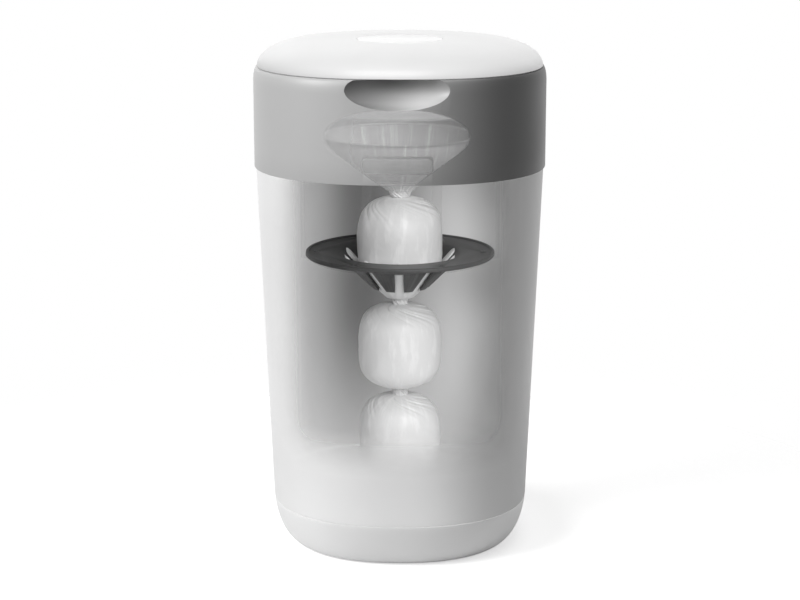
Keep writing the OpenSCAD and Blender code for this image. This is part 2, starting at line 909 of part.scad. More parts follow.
module pawl_screws() {
    color([0.6, 0.6, 0.62])
        at_angles(pawl_angles, pawl_base_r)
            translate([0, pawl_base_y, 0]) {
                post(head_r, deck_top + pawl_base_h, head_h);
                post(screw_r, deck_z, pawl_base_h + deck_t + head_h / 2);
            }
}

// ---------- film cassette ----------

module cassette_tray() {
    color([0.45, 0.45, 0.47])
        rotate_extrude($fn = round_n)
            polygon([
                [cassette_in_r, ring_floor],
                [cassette_out_r, ring_floor],
                [cassette_out_r, cassette_top - cassette_t],
                [cassette_out_r - cassette_t, cassette_top - cassette_t],
                [cassette_out_r - cassette_t, ring_floor + cassette_t],
                [cassette_in_r + cassette_t, ring_floor + cassette_t],
                [cassette_in_r + cassette_t, slot_z],
                [cassette_in_r, slot_z]
            ]);
}

module cassette_cover() {
    skirt_z = slot_z + slot_h;
    edge = 0.8;
    color([0.5, 0.5, 0.52])
        union() {
            rotate_extrude($fn = round_n)
                polygon([
                    [cassette_in_r, skirt_z],
                    [cassette_in_r + cassette_t, skirt_z],
                    [cassette_in_r + cassette_t, cassette_top - cassette_t],
                    [cassette_out_r, cassette_top - cassette_t],
                    [cassette_out_r, cassette_top - edge],
                    [cassette_out_r - edge, cassette_top],
                    [cassette_in_r + edge, cassette_top],
                    [cassette_in_r, cassette_top - edge]
                ]);
            at_angles([for (i = [0:grip_n - 1]) 360 * i / grip_n], cassette_in_r + cassette_t)
                cassette_grip();
        }
}

// Rounded bar that the fingers push to turn the cassette
module cassette_grip() {
    len = cassette_out_r - cassette_in_r - 3 * cassette_t;
    translate([0, 2, 0])
        rotate([90, 0, 0])
            linear_extrude(4)
                polygon([
                    [0, cassette_top - 1],
                    [1, cassette_top + grip_h - 2],
                    [3, cassette_top + grip_h],
                    [len - 3, cassette_top + grip_h],
                    [len - 1, cassette_top + grip_h - 2],
                    [len, cassette_top - 1]
                ]);
}

// Pleated film sleeve packed in the cassette, as a grooved ring
module film_pack() {
    r_in = cassette_in_r + cassette_t + 1;
    r_out = cassette_out_r - cassette_t - 1;
    low = ring_floor + cassette_t;
    high = cassette_top - cassette_t - 4;
    pleats = 6;
    groove = 0.8;
    color([0.92, 0.92, 0.92])
        rotate_extrude($fn = round_n)
            polygon(concat(
                [[r_in, low], [r_out, low]],
                [for (k = [1:2 * pleats - 1])
                    [r_out - groove * (k % 2), low + (high - low) * k / (2 * pleats)]],
                [[r_out, high], [r_in, high]]
            ));
}

// Film drawn out of the cassette's slot and gathered to its twisted neck
module film_funnel() {
    pack_r = cassette_in_r + cassette_t + 1;
    color([0.8, 0.8, 0.82])
        rotate_extrude($fn = round_n)
            polygon([
                [neck_r, funnel_end_z],
                [neck_r + 1.2 * film_t, funnel_end_z],
                [funnel_r + 0.4, funnel_z - film_t / 2],
                [pack_r, funnel_z - film_t / 2],
                [pack_r, funnel_z + film_t / 2],
                [funnel_r - 0.6, funnel_z + film_t / 2]
            ]);
}

// ---------- gripper ----------

// Frame that hangs the dish below the deck: top ring, legs and foot ring
module gripper_hanger() {
    color([0.66, 0.66, 0.66])
        difference() {
            union() {
                round_ring(leg_in_r - 1, hanger_screw_r + 5, deck_z - hanger_t, hanger_t);
                round_ring(hanger_ring_in, hanger_ring_out, hanger_foot_z, hanger_t);
                for (a = leg_angles)
                    rotate([0, 0, a]) {
                        translate([leg_in_r, -leg_w / 2, hanger_foot_z])
                            cube([leg_t, leg_w, deck_z - hanger_t / 2 - hanger_foot_z]);
                        translate([hanger_ring_out - 2, -leg_w / 2, hanger_foot_z])
                            cube([leg_in_r - hanger_ring_out + 3, leg_w, hanger_t]);
                    }
            }
            at_angles(hanger_angles, hanger_screw_r)
                post(screw_r + pin_gap, deck_z - hanger_t - 1, hanger_t + 2);
            at_angles(dish_screw_angles, dish_screw_r)
                post(screw_r + pin_gap, hanger_foot_z - 1, hanger_t + 2);
        }
}

module hanger_screws() {
    low = deck_z - hanger_t;
    color([0.6, 0.6, 0.62])
        at_angles(hanger_angles, hanger_screw_r) {
            post(head_r, low - head_h, head_h);
            post(screw_r, low - head_h / 2, hanger_t + deck_t + head_h / 2 + 1);
        }
}

// Section of the dish: flat brim with a raised rim, turning down into a cone
module dish_section() {
    turn = 3;
    end_z = dish_z - bowl_drop;
    lift = dish_t * sqrt(1 + bowl_slope * bowl_slope);
    polygon([
        [bowl_end_r, end_z],
        [bowl_r - turn, dish_z - turn * bowl_slope],
        [bowl_r - turn * 0.35, dish_z - turn * 0.55],
        [bowl_r + turn * 0.6, dish_z],
        [dish_r - 3.2, dish_z],
        [dish_r - 2.6, dish_z + bead_h],
        [dish_r - 0.8, dish_z + bead_h],
        [dish_r, dish_z + bead_h - 0.8],
        [dish_r, dish_z - dish_t + 0.8],
        [dish_r - 0.8, dish_z - dish_t],
        [bowl_r + turn * 1.4, dish_z - dish_t],
        [bowl_r, dish_z - lift],
        [bowl_end_r + 0.6, end_z - lift + 0.6]
    ]);
}

module gripper_dish() {
    slot_r = finger_tip_r - 5;
    color([0.3, 0.29, 0.29])
        difference() {
            rotate_extrude($fn = round_n)
                dish_section();
            at_angles(finger_angles, 0)
                translate([bowl_end_r - 4, -finger_w / 2 - run_gap, dish_z - bowl_drop - 8])
                    cube([slot_r - bowl_end_r + 4, finger_w + 2 * run_gap, bowl_drop + 7]);
            at_angles(dish_screw_angles, dish_screw_r)
                post(screw_r + pin_gap, dish_z - dish_t - 1, dish_t + 2);
        }
}

module dish_screws() {
    color([0.25, 0.25, 0.25])
        at_angles(dish_screw_angles, dish_screw_r) {
            post(head_r, dish_z, head_h * 0.6);
            post(screw_r, hanger_foot_z, dish_t + hanger_t + head_h * 0.3);
        }
}

// Height of the fingers' middle line at radius r
function finger_at(r) = finger_tip_z - (finger_tip_r - r) * finger_slope;

// Flat blade of one finger, with a round tip, cut from its side profile
module finger_blade() {
    root_r = crown_r + 1;
    length = bowl_drop + 30;
    intersection() {
        translate([0, finger_w / 2, 0])
            rotate([90, 0, 0])
                linear_extrude(finger_w)
                    polygon([
                        [root_r, finger_at(root_r) - finger_lift],
                        [finger_tip_r, finger_at(finger_tip_r) - finger_lift],
                        [finger_tip_r, finger_at(finger_tip_r) + finger_lift],
                        [root_r, finger_at(root_r) + finger_lift]
                    ]);
        translate([0, 0, crown_z - 10])
            union() {
                translate([root_r - 1, -finger_w, 0])
                    cube([finger_tip_r - finger_w / 2 - root_r + 1, 2 * finger_w, length]);
                translate([finger_tip_r - finger_w / 2, 0, 0])
                    cylinder(r = finger_w / 2, h = length, $fn = pin_n);
            }
    }
}

// Upright fingers joined by a conical crown below the bowl
module gripper_fingers() {
    crown_low = crown_r - 1;
    color([0.93, 0.93, 0.93])
        union() {
            rotate_extrude($fn = round_n)
                polygon([
                    [crown_low, finger_at(crown_low) - crown_lift],
                    [crown_top_r, finger_at(crown_top_r) - crown_lift],
                    [crown_top_r, finger_at(crown_top_r) + crown_lift],
                    [crown_low, finger_at(crown_low) + crown_lift]
                ]);
            for (a = finger_angles)
                rotate([0, 0, a])
                    finger_blade();
        }
}

// ---------- release button ----------

// Prism of the button's rounded face, grown by g, between two depths from the axis
module button_prism(g, y_out, y_in) {
    translate([0, -y_in, button_z])
        rotate([90, 0, 0])
            rounded_plate(button_w + 2 * g, button_h + 2 * g, y_out - y_in, 3);
}

// Band between two offsets of the collar's outer face, over the button's height
module collar_band(h_out, h_in) {
    z = button_z - button_h;
    difference() {
        plan_plate(h_out, z, 2 * button_h);
        plan_plate(h_in, z - 1, 2 * button_h + 2);
    }
}

// Button with its flange behind the collar's wall and the web that carries the latch arm
module release_button() {
    color([0.6, 0.6, 0.6])
        union() {
            intersection() {
                button_prism(0, collar_half + 4, button_back - 6);
                collar_band(collar_half + button_out, button_back);
            }
            intersection() {
                button_prism(button_flange, collar_half + 4, button_back - 6);
                collar_band(collar_in - run_gap, button_back);
            }
            translate([-arm_half, -button_back - 1, button_web_z])
                cube([2 * arm_half, button_back + 1 - arm_y, button_web_t]);
            translate([0, -button_back - 0.5, button_z])
                rotate([-90, 0, 0])
                    cylinder(r = 2.5, h = 3, $fn = small_n);
        }
}

// Flat arm that hangs from the button's web down behind the keeper
module latch_arm() {
    nose = arm_t / 2;
    color([0.55, 0.55, 0.57])
        translate([-arm_half, 0, 0])
            rotate([90, 0, 90])
                linear_extrude(2 * arm_half)
                    polygon([
                        [-arm_y, arm_low + nose],
                        [nose - arm_y, arm_low],
                        [arm_t - arm_y, arm_low + nose],
                        [arm_t - arm_y, button_web_z + button_web_t],
                        [-arm_y, button_web_z + button_web_t]
                    ]);
}

// Coil between the button and the deck's bracket
module button_spring() {
    from = -button_back + 0.1;
    to = -bracket_y - 0.1;
    per_turn = 12;
    n = spring_turns * per_turn;
    sides = 6;
    points = [
        for (k = [0:n])
            let (
                a = 360 * k / per_turn,
                y = from + wire_r + (to - from - 2 * wire_r) * k / n
            )
            for (s = [0:sides - 1])
                let (b = 360 * s / sides, r = spring_r + wire_r * cos(b))
                [r * cos(a), y + wire_r * sin(b), button_z + r * sin(a)]
    ];
    skin = [
        for (k = [0:n - 1])
            for (s = [0:sides - 1])
                let (t = (s + 1) % sides, low = k * sides, high = low + sides)
                each [[low + s, high + t, high + s], [low + s, low + t, high + t]]
    ];
    ends = [
        [for (s = [sides - 1:-1:0]) s],
        [for (s = [0:sides - 1]) n * sides + s]
    ];
    color([0.75, 0.75, 0.77])
        polyhedron(points, concat(skin, ends));
}

// ---------- film cutter ----------

module cutter_slide() {
    stem_w = cutter_slot_w - 2 * run_gap;
    color([0.85, 0.35, 0.3])
        translate([cutter_reach, cutter_y, 0])
            difference() {
                union() {
                    translate([-knob_w / 2, -knob_l / 2, deck_z - run_gap - knob_h])
                        cube([knob_w, knob_l, knob_h]);
                    translate([-stem_w / 2, -cutter_stem / 2, deck_z - 1])
                        cube([stem_w, cutter_stem, deck_t + 2]);
                    translate([-5, -cutter_stem / 2 - 1, deck_top + run_gap])
                        cube([10, cutter_stem + 2, 2]);
                }
                // finger grip on the underside
                translate([0, 0, deck_z - run_gap - knob_h - 12])
                    rotate([0, 90, 0])
                        cylinder(r = 14.5, h = knob_w + 2, center = true, $fn = round_n);
                // film notch, crossed by the blade
                translate([-knob_w / 2 - 1, -knob_l / 2 - 1, cutter_notch_z])
                    cube([knob_w + 2, 6, 2.6]);
                translate([-blade_t / 2 - 0.05, -knob_l / 2 + 1.5, cutter_notch_z - 1.4])
                    cube([blade_t + 0.1, 8, 5.4]);
            }
}

module cutter_blade() {
    low = cutter_notch_z - 1.3;
    front = -knob_l / 2 + 1.6;
    color([0.8, 0.8, 0.82])
        translate([cutter_reach - blade_t / 2, cutter_y, 0])
            rotate([90, 0, 90])
                linear_extrude(blade_t)
                    polygon([[front, low], [front + 7.8, low], [front + 7.8, low + 5.2], [front + 3, low + 5.2]]);
}

// ---------- wrapped nappies ----------

// Body of a twisted parcel: an upright drum whose shoulders round in to a neck at each end
function parcel_r(u, r) = twist_r + (r - twist_r) * sqrt(1 - pow(abs(2 * u - 1), parcel_power));

// Share of the body's height at step k, with the steps closer together on the shoulders
function shoulder_step(k) = (1 - cos(180 * k / parcel_steps)) / 2;

// Largest radius that stays inside the gripper at height z
function grip_limit(z) = crown_r + (z - crown_z - finger_lift) / finger_slope - soft_gap;

module wrapped_nappy_upper() {
    low = upper_bottom;
    high = funnel_end_z - run_gap;
    span = high - low - parcel_neck;
    color([0.95, 0.95, 0.95])
        rotate_extrude($fn = 64)
            polygon(concat(
                [[0, low]],
                [for (k = [0:parcel_steps]) let (u = shoulder_step(k), z = low + span * u)
                    [min(parcel_r(u, nappy_r), max(twist_r, grip_limit(z))), z]],
                [[twist_r, high - parcel_neck / 2], [neck_r - 2, high], [0, high]]
            ));
}

module hanging_parcel(low, r) {
    high = low + nappy_h;
    span = nappy_h - 2 * parcel_neck;
    rotate_extrude($fn = 64)
        polygon(concat(
            [[0, low], [twist_r, low]],
            [for (k = [0:parcel_steps]) let (u = shoulder_step(k))
                [parcel_r(u, r), low + parcel_neck + span * u]],
            [[twist_r, high], [0, high]]
        ));
}

module wrapped_nappy_middle() {
    color([0.93, 0.93, 0.93])
        hanging_parcel(middle_bottom, nappy_r - 0.6);
}

module wrapped_nappy_lower() {
    color([0.93, 0.93, 0.93])
        hanging_parcel(lower_bottom, nappy_r - 1.6);
}

// Knotted end of the film, resting on the pan's floor
module film_tail() {
    h = lower_bottom - floor_t;
    waist_r = twist_r - 1.5;
    knot_r = twist_r + 2;
    color([0.9, 0.9, 0.9])
        rotate_extrude($fn = 64)
            polygon([
                [0, floor_t], [tail_r, floor_t], [tail_r - 2, floor_t + h * 0.2],
                [waist_r, floor_t + h * 0.38], [waist_r, floor_t + h * 0.44],
                [knot_r, floor_t + h * 0.56], [knot_r, floor_t + h * 0.68],
                [waist_r, floor_t + h * 0.8], [twist_r, floor_t + h], [0, floor_t + h]
            ]);
}

tub_shell();
base_pan();
latch_keeper();
collar_hinge_pin();
collar_housing();
top_surround();
deck();
deck_screws();
lid_hinge_pin();
lid_shell();
lid_tray();
lid_screws();
lid_seal();
lid_inlay();
turning_ring();
click_ring();
click_pawls();
pawl_screws();
cassette_tray();
cassette_cover();
film_pack();
film_funnel();
gripper_hanger();
hanger_screws();
gripper_dish();
dish_screws();
gripper_fingers();
release_button();
latch_arm();
button_spring();
cutter_slide();
cutter_blade();
wrapped_nappy_upper();
wrapped_nappy_middle();
wrapped_nappy_lower();
film_tail();
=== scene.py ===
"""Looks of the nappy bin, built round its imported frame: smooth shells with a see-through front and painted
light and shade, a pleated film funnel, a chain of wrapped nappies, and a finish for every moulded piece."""

import json
import math
from collections import namedtuple

import bmesh
import bpy
from mathutils import Matrix, Vector, noise


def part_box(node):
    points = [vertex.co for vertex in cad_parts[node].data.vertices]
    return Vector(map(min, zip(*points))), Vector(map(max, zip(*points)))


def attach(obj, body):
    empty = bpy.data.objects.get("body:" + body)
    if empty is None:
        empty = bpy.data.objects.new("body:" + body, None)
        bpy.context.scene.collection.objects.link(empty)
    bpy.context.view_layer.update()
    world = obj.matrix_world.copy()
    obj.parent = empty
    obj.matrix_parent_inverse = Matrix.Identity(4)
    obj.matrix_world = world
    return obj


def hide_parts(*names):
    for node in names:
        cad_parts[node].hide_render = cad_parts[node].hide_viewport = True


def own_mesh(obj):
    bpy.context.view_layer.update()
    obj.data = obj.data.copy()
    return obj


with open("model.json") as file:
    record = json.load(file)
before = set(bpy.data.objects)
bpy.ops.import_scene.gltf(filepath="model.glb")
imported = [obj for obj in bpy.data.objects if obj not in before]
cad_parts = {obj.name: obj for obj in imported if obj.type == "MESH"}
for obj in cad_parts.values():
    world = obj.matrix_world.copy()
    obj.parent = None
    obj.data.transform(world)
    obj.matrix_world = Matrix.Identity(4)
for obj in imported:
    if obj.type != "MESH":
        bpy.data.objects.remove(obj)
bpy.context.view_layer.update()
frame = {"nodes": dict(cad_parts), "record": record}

MM = 0.001

# Camera: fitted to the outline in the photograph
CAMERA_PLACE = (0.0355, -1.7758, 0.6213)
CAMERA_TILT = 0.225
CAMERA_TURN = 0.02
LENS = 91.57

# Plan outline, a rounded square
PLAN_POWER = 2.3
ROUND = 192

# Shell sizes in millimetres
WALL = 2.5
FOOT_HALF = 90.5
HEEL_HALF = 114.2
HEEL_H = 47.5
TUB_HALF = 126.0
TUB_H = 340.0
SEAM_Z = 39.7
SEAM_GAP = 0.4
RIM_W = 7.0
RIM_T = 3.0
LIP_H = 2.0
LIP_T = 2.5
FLOOR_T = 3.0
SPIGOT_H = 8.0
SPIGOT_T = 1.8
SPIGOT_IN = 0.25
RUN_GAP = 0.3
COLLAR_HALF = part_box("collar_housing")[1].x / MM
COLLAR_TOP = 426.0
SHOULDER_H = 12.0
SHOULDER_IN = 3.2
FLANGE_W = 6.3
SCOOP_HALF = 49.5
SCOOP_R = 17.3
SCOOP_PLACE = (0.0, -COLLAR_HALF - 3.5, COLLAR_TOP - 7.6)
LID_RISE = 23.3
LID_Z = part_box("lid_shell")[1].z / MM - LID_RISE
LID_HALF = COLLAR_HALF - SHOULDER_IN
LID_GAP = 0.7
LID_POWER = 5.0
LID_WALL = 2.5
INLAY_FRONT = 16.0
INLAY_SEAT_R = 37.3
INLAY_SEAT = 1.2
BUTTON_W = 57.2
BUTTON_H = 12.2
BUTTON_Z = 356.0
BUTTON_CORNER = 3.3

# Hinges in millimetres: knuckle radius, and each axis as depth and height
KNUCKLE_R = 4.2
KNUCKLE_HALF = 19.5
EAR_FROM = 19.8
EAR_TO = 31.8
COLLAR_AXIS = (132.5, 338.0)
LID_AXIS = (130.0, 427.4)

# See-through front of the tub, in millimetres: sides, heights and depth, each with its soft edge
TUB_WINDOW = {
    "Left": -109.0,
    "Left Soft": 36.0,
    "Right": 105.0,
    "Right Soft": 30.0,
    "Low": 84.0,
    "Low Soft": 48.0,
    "High": 345.0,
    "High Soft": 1.0,
    "Depth": 0.0,
    "Depth Soft": 30.0,
}

# The same on the pieces inside the collar, whose fronts clear the view of the funnel
INNER_WINDOW = {
    "Left": -76.0,
    "Left Soft": 6.0,
    "Right": 76.0,
    "Right Soft": 6.0,
    "Low": 300.0,
    "Low Soft": 1.0,
    "High": 391.0,
    "High Soft": 4.0,
    "Depth": -2.0,
    "Depth Soft": 6.0,
}

# Funnel-shaped window on the collar's front, in millimetres
CONE_WINDOW = {
    "Rim Height": 378.7,
    "Rim Half": 62.4,
    "Rim Rise": 25.6,
    "Join Height": 366.3,
    "Join Half": 52.8,
    "Neck Height": 338.0,
    "Neck Half": 12.5,
    "High": 403.0,
    "Soft": 2.0,
}

# ---------- plan outline and shells ----------


def plan_point(half, angle):
    """A point of the rounded-square outline of that half width, in the direction angle."""
    c, s = math.cos(angle), math.sin(angle)
    reach = half / (abs(c) ** PLAN_POWER + abs(s) ** PLAN_POWER) ** (1 / PLAN_POWER)
    return reach * c, reach * s


def plan_depth(half, x):
    """Half depth of the outline of that half width, at a distance x from the middle."""
    return half * (1 - abs(x / half) ** PLAN_POWER) ** (1 / PLAN_POWER)


def tub_at(z):
    """Outer half width of the tub and its pan at a height."""
    if z < HEEL_H:
        return FOOT_HALF + (HEEL_HALF - FOOT_HALF) * math.sqrt(1 - ((HEEL_H - z) / HEEL_H) ** 2)
    return HEEL_HALF + (TUB_HALF - HEEL_HALF) * (z - HEEL_H) / (TUB_H - HEEL_H)


def steps(start, end, count):
    """Evenly spaced values from start to end, both included."""
    return [start + (end - start) * i / count for i in range(count + 1)]


def new_piece(name, points, faces):
    """A mesh object at the origin, from points in millimetres."""
    mesh = bpy.data.meshes.new(name)
    mesh.from_pydata([Vector(p) * MM for p in points], [], faces)
    mesh.update()
    obj = bpy.data.objects.new(name, mesh)
    bpy.context.scene.collection.objects.link(obj)
    return obj


def full_turn(count):
    """Even angles all the way round."""
    return [2 * math.pi * i / count for i in range(count)]


def band_faces(rows, count, closed=False):
    """Faces that join rings of points, row after row, and the last row to the first if closed."""
    faces = []
    for row in range(rows if closed else rows - 1):
        low, high = row * count, (row + 1) % rows * count
        for i in range(count):
            j = (i + 1) % count
            faces.append((low + i, low + j, high + j, high + i))
    return faces


def end_faces(rows, count):
    """The two faces that close a tube of rings at its ends."""
    return [tuple(reversed(range(count))), tuple((rows - 1) * count + i for i in range(count))]


def loft(name, section, closed):
    """A shell whose section is a list of (half width, height), carried round the outline."""
    points = [(*plan_point(half, a), z) for half, z in section for a in full_turn(ROUND)]
    ends = [] if closed else end_faces(len(section), ROUND)
    return new_piece(name, points, band_faces(len(section), ROUND, closed) + ends)


def revolve(name, section, count=128):
    """A ring whose section is a closed list of (radius, height), turned about the Z axis."""
    points = [(*at_turn(r, a), z) for r, z in section for a in full_turn(count)]
    return new_piece(name, points, band_faces(len(section), count, True))


def at_turn(r, a):
    """The two sides of a point at a radius and an angle round the Z axis."""
    return r * math.cos(a), r * math.sin(a)


def outward(obj):
    """Points every face of a closed mesh outwards."""
    bm = bmesh.new()
    bm.from_mesh(obj.data)
    bmesh.ops.remove_doubles(bm, verts=bm.verts, dist=1e-7)
    bmesh.ops.recalc_face_normals(bm, faces=bm.faces)
    bm.to_mesh(obj.data)
    bm.free()


def settle(obj):
    """Turns the object's modifiers into plain mesh."""
    graph = bpy.context.evaluated_depsgraph_get()
    mesh = bpy.data.meshes.new_from_object(obj.evaluated_get(graph))
    obj.modifiers.clear()
    obj.data = mesh
    mesh.name = obj.name


def combine(obj, other, operation):
    """A boolean of two closed meshes; the other one is used up."""
    cut = obj.modifiers.new("combine", "BOOLEAN")
    cut.operation = operation
    cut.solver = "EXACT"
    cut.object = other
    settle(obj)
    bpy.data.objects.remove(other)


def soften(obj, width, angle=35.0):
    """Rounds the sharp edges by a width in millimetres, and shades the rest smooth."""
    round_off = obj.modifiers.new("round_off", "BEVEL")
    round_off.width = width * MM
    round_off.segments = 2
    round_off.limit_method = "ANGLE"
    round_off.angle_limit = math.radians(angle)
    round_off.use_clamp_overlap = True
    settle(obj)
    shade(obj, 50.0)


def shade(obj, angle):
    """Smooth shading, except across edges sharper than the angle."""
    for face in obj.data.polygons:
        face.use_smooth = True
    obj.data.set_sharp_from_angle(angle=math.radians(angle))


def finish_piece(obj, material, body, slot, *nodes):
    """Gives a piece its material and the body that it rides on, and hides the nodes that it stands for.
    The slot is not used.
    """
    obj.data.materials.clear()
    obj.data.materials.append(material)
    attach(obj, body)
    if nodes:
        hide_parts(*nodes)
    return obj


# ---------- shader nodes ----------


def set_inputs(tree, node, values):
    """Sets a node's inputs, each to a value or to another node's output."""
    for key, value in dict(values).items():
        if isinstance(value, bpy.types.NodeSocket):
            tree.links.new(value, node.inputs[key])
        else:
            node.inputs[key].default_value = value


def add(tree, kind, inputs=(), **settings):
    """A new node with its settings and inputs."""
    made = tree.nodes.new(kind)
    for key, value in settings.items():
        setattr(made, key, value)
    set_inputs(tree, made, inputs)
    return made


def calc(tree, operation, first, second=0.0):
    """The result of one sum on two values."""
    return add(tree, "ShaderNodeMath", {0: first, 1: second}, operation=operation).outputs[0]


def ramp(tree, value, low, high, to_low=0.0, to_high=1.0, kind="SMOOTHSTEP"):
    """A value that goes from to_low to to_high as the input goes from low to high."""
    inputs = {"Value": value, "From Min": low, "From Max": high, "To Min": to_low, "To Max": to_high}
    return add(tree, "ShaderNodeMapRange", inputs, interpolation_type=kind).outputs["Result"]


def new_group(name, inputs, *outputs):
    """An empty shader group: inputs maps names to default values, and the outputs are numbers."""
    tree = bpy.data.node_groups.new(name, "ShaderNodeTree")
    for key, value in inputs.items():
        kind = "NodeSocketVector" if value is None else "NodeSocketFloat"
        socket = tree.interface.new_socket(key, in_out="INPUT", socket_type=kind)
        if value is not None:
            socket.default_value = value
    for key in outputs:
        tree.interface.new_socket(key, in_out="OUTPUT", socket_type="NodeSocketFloat")
    return tree, tree.nodes.new("NodeGroupInput").outputs, tree.nodes.new("NodeGroupOutput").inputs


def millimetres(tree, place):
    """The parts of a place, in millimetres."""
    scaled = add(tree, "ShaderNodeVectorMath", {0: place, "Scale": 1 / MM}, operation="SCALE")
    return add(tree, "ShaderNodeSeparateXYZ", {0: scaled.outputs[0]}).outputs


def window_group():
    """How clear a see-through front is at a place: 1 in its middle, 0 past its soft edges."""
    tree, given, out = new_group("see_through_window", {"Place": None, **TUB_WINDOW}, "Clear")
    place = millimetres(tree, given["Place"])
    clear = 1.0
    sides = (("X", "Left", 1), ("X", "Right", -1), ("Z", "Low", 1), ("Z", "High", -1), ("Y", "Depth", -1))
    for axis, side, sign in sides:
        soft = calc(tree, "MULTIPLY", given[side + " Soft"], sign)
        edge = ramp(tree, place[axis], given[side], calc(tree, "ADD", given[side], soft))
        clear = calc(tree, "MULTIPLY", edge, clear)
    tree.links.new(clear, out["Clear"])
    return tree


def cone_group():
    """How clear the collar's front is: 1 inside the outline of the funnel and its rim."""
    tree, given, out = new_group("funnel_window", {"Place": None, **CONE_WINDOW}, "Clear")
    place = millimetres(tree, given["Place"])
    wide = calc(tree, "DIVIDE", place["X"], given["Rim Half"])
    tall = calc(tree, "DIVIDE", calc(tree, "SUBTRACT", place["Z"], given["Rim Height"]), given["Rim Rise"])
    square = calc(tree, "ADD", calc(tree, "MULTIPLY", wide, wide), calc(tree, "MULTIPLY", tall, tall))
    inner = calc(tree, "SUBTRACT", 1.0, calc(tree, "DIVIDE", given["Soft"], given["Rim Rise"]))
    rim = ramp(tree, calc(tree, "SQRT", square), 1.0, inner)
    half = ramp(tree, place["Z"], given["Neck Height"], given["Join Height"],
                given["Neck Half"], given["Join Half"], "LINEAR")
    beside = calc(tree, "SUBTRACT", half, calc(tree, "ABSOLUTE", place["X"]))
    cone = ramp(tree, beside, 0.0, given["Soft"])
    below = ramp(tree, place["Z"], calc(tree, "ADD", given["Join Height"], 4.0), given["Join Height"])
    both = calc(tree, "MAXIMUM", rim, calc(tree, "MULTIPLY", cone, below))
    under_scoop = ramp(tree, place["Z"], given["High"], calc(tree, "SUBTRACT", given["High"], given["Soft"]))
    front = calc(tree, "MULTIPLY", ramp(tree, place["Y"], -60.0, -80.0), under_scoop)
    tree.links.new(calc(tree, "MULTIPLY", both, front), out["Clear"])
    return tree


def streak_group():
    """Streaks that run up and down a film piece round the Z axis."""
    tree, given, out = new_group("film_streaks", {"Place": None, "Around": 9.0, "Along": 14.0}, "Streak")
    flat = add(tree, "ShaderNodeVectorMath", {0: given["Place"], 1: (1.0, 1.0, 0.0)}, operation="MULTIPLY")
    round_it = add(tree, "ShaderNodeVectorMath", {0: flat.outputs[0]}, operation="NORMALIZE")
    around = add(tree, "ShaderNodeVectorMath", {0: round_it.outputs[0], "Scale": given["Around"]},
                 operation="SCALE")
    height = add(tree, "ShaderNodeSeparateXYZ", {0: given["Place"]}).outputs["Z"]
    along = add(tree, "ShaderNodeCombineXYZ", {2: calc(tree, "MULTIPLY", height, given["Along"])})
    lay = add(tree, "ShaderNodeVectorMath", {0: around.outputs[0], 1: along.outputs[0]}, operation="ADD")
    streaks = add(tree, "ShaderNodeTexNoise", {"Vector": lay.outputs[0], "Scale": 1.0, "Detail": 5.0,
                                               "Roughness": 0.6})
    tree.links.new(streaks.outputs["Fac"], out["Streak"])
    return tree


def grain_group():
    """Fine moulded grain: a height for the bump, and a small change of tone and roughness."""
    tree, given, out = new_group(
        "moulded_grain", {"Place": None, "Scale": 900.0, "Blotch": 9.0}, "Height", "Tone"
    )
    for key, scale, detail in (("Height", "Scale", 3.0), ("Tone", "Blotch", 4.0)):
        made = add(tree, "ShaderNodeTexNoise",
                   {"Vector": given["Place"], "Scale": given[scale], "Detail": detail})
        tree.links.new(made.outputs["Fac"], out[key])
    return tree


def wear_group():
    """Edge wear: 1 along raised edges, broken up by a fine noise."""
    tree, given, out = new_group("edge_wear", {"Place": None, "Amount": 0.5}, "Wear")
    raised = ramp(tree, add(tree, "ShaderNodeNewGeometry").outputs["Pointiness"], 0.52, 0.62)
    patchy = add(tree, "ShaderNodeTexNoise", {"Vector": given["Place"], "Scale": 240.0, "Detail": 4.0})
    mask = ramp(tree, patchy.outputs["Fac"], 0.35, 0.65)
    wear = calc(tree, "MULTIPLY", calc(tree, "MULTIPLY", raised, mask), given["Amount"])
    tree.links.new(wear, out["Wear"])
    return tree


WINDOW = window_group()
CONE = cone_group()
STREAK = streak_group()
GRAIN = grain_group()
WEAR = wear_group()
PALE = (0.9, 0.9, 0.9, 1.0)
EDGE_SHOWN = 0.7

# Painted light and shade: grey levels at even steps along X, from -edge to edge in millimetres
PaintedShading = namedtuple("PaintedShading", "edge levels")
# How a surface opens for the see-through view: the window and its group, how clear it gets, the power that
# eases its soft edge, and whether it is a shell, which still shows where it is seen edge-on
Opening = namedtuple("Opening", "window group strength ease is_shell")


def grey(level):
    """The linear colour of a grey level from 0 to 255."""
    value = ((level / 255 + 0.055) / 1.055) ** 2.4
    return value, value, value, 1.0


def use_group(tree, group, place, values=()):
    """The outputs of a shader group at a place, with values of its own."""
    return add(tree, "ShaderNodeGroup", {"Place": place, **dict(values)}, node_tree=group).outputs


def mix_colours(tree, share, first, second, blend="MIX"):
    """The second colour mixed over the first, or multiplied into it."""
    inputs = {"Factor": share, 6: first, 7: second}
    return add(tree, "ShaderNodeMix", inputs, data_type="RGBA", blend_type=blend).outputs[2]


def across(tree, place, shades):
    """Painted light and shade: a colour that follows grey levels smoothly from side to side."""
    side = ramp(tree, millimetres(tree, place)["X"], -shades.edge, shades.edge, kind="LINEAR")
    band = add(tree, "ShaderNodeValToRGB", {"Fac": side})
    band.color_ramp.interpolation = "B_SPLINE"
    points = band.color_ramp.elements
    last = len(shades.levels) - 1
    for i in range(1, last):
        points.new(i / last)
    for point, level in zip(points, shades.levels):
        point.color = grey(level)
    return band.outputs["Color"]


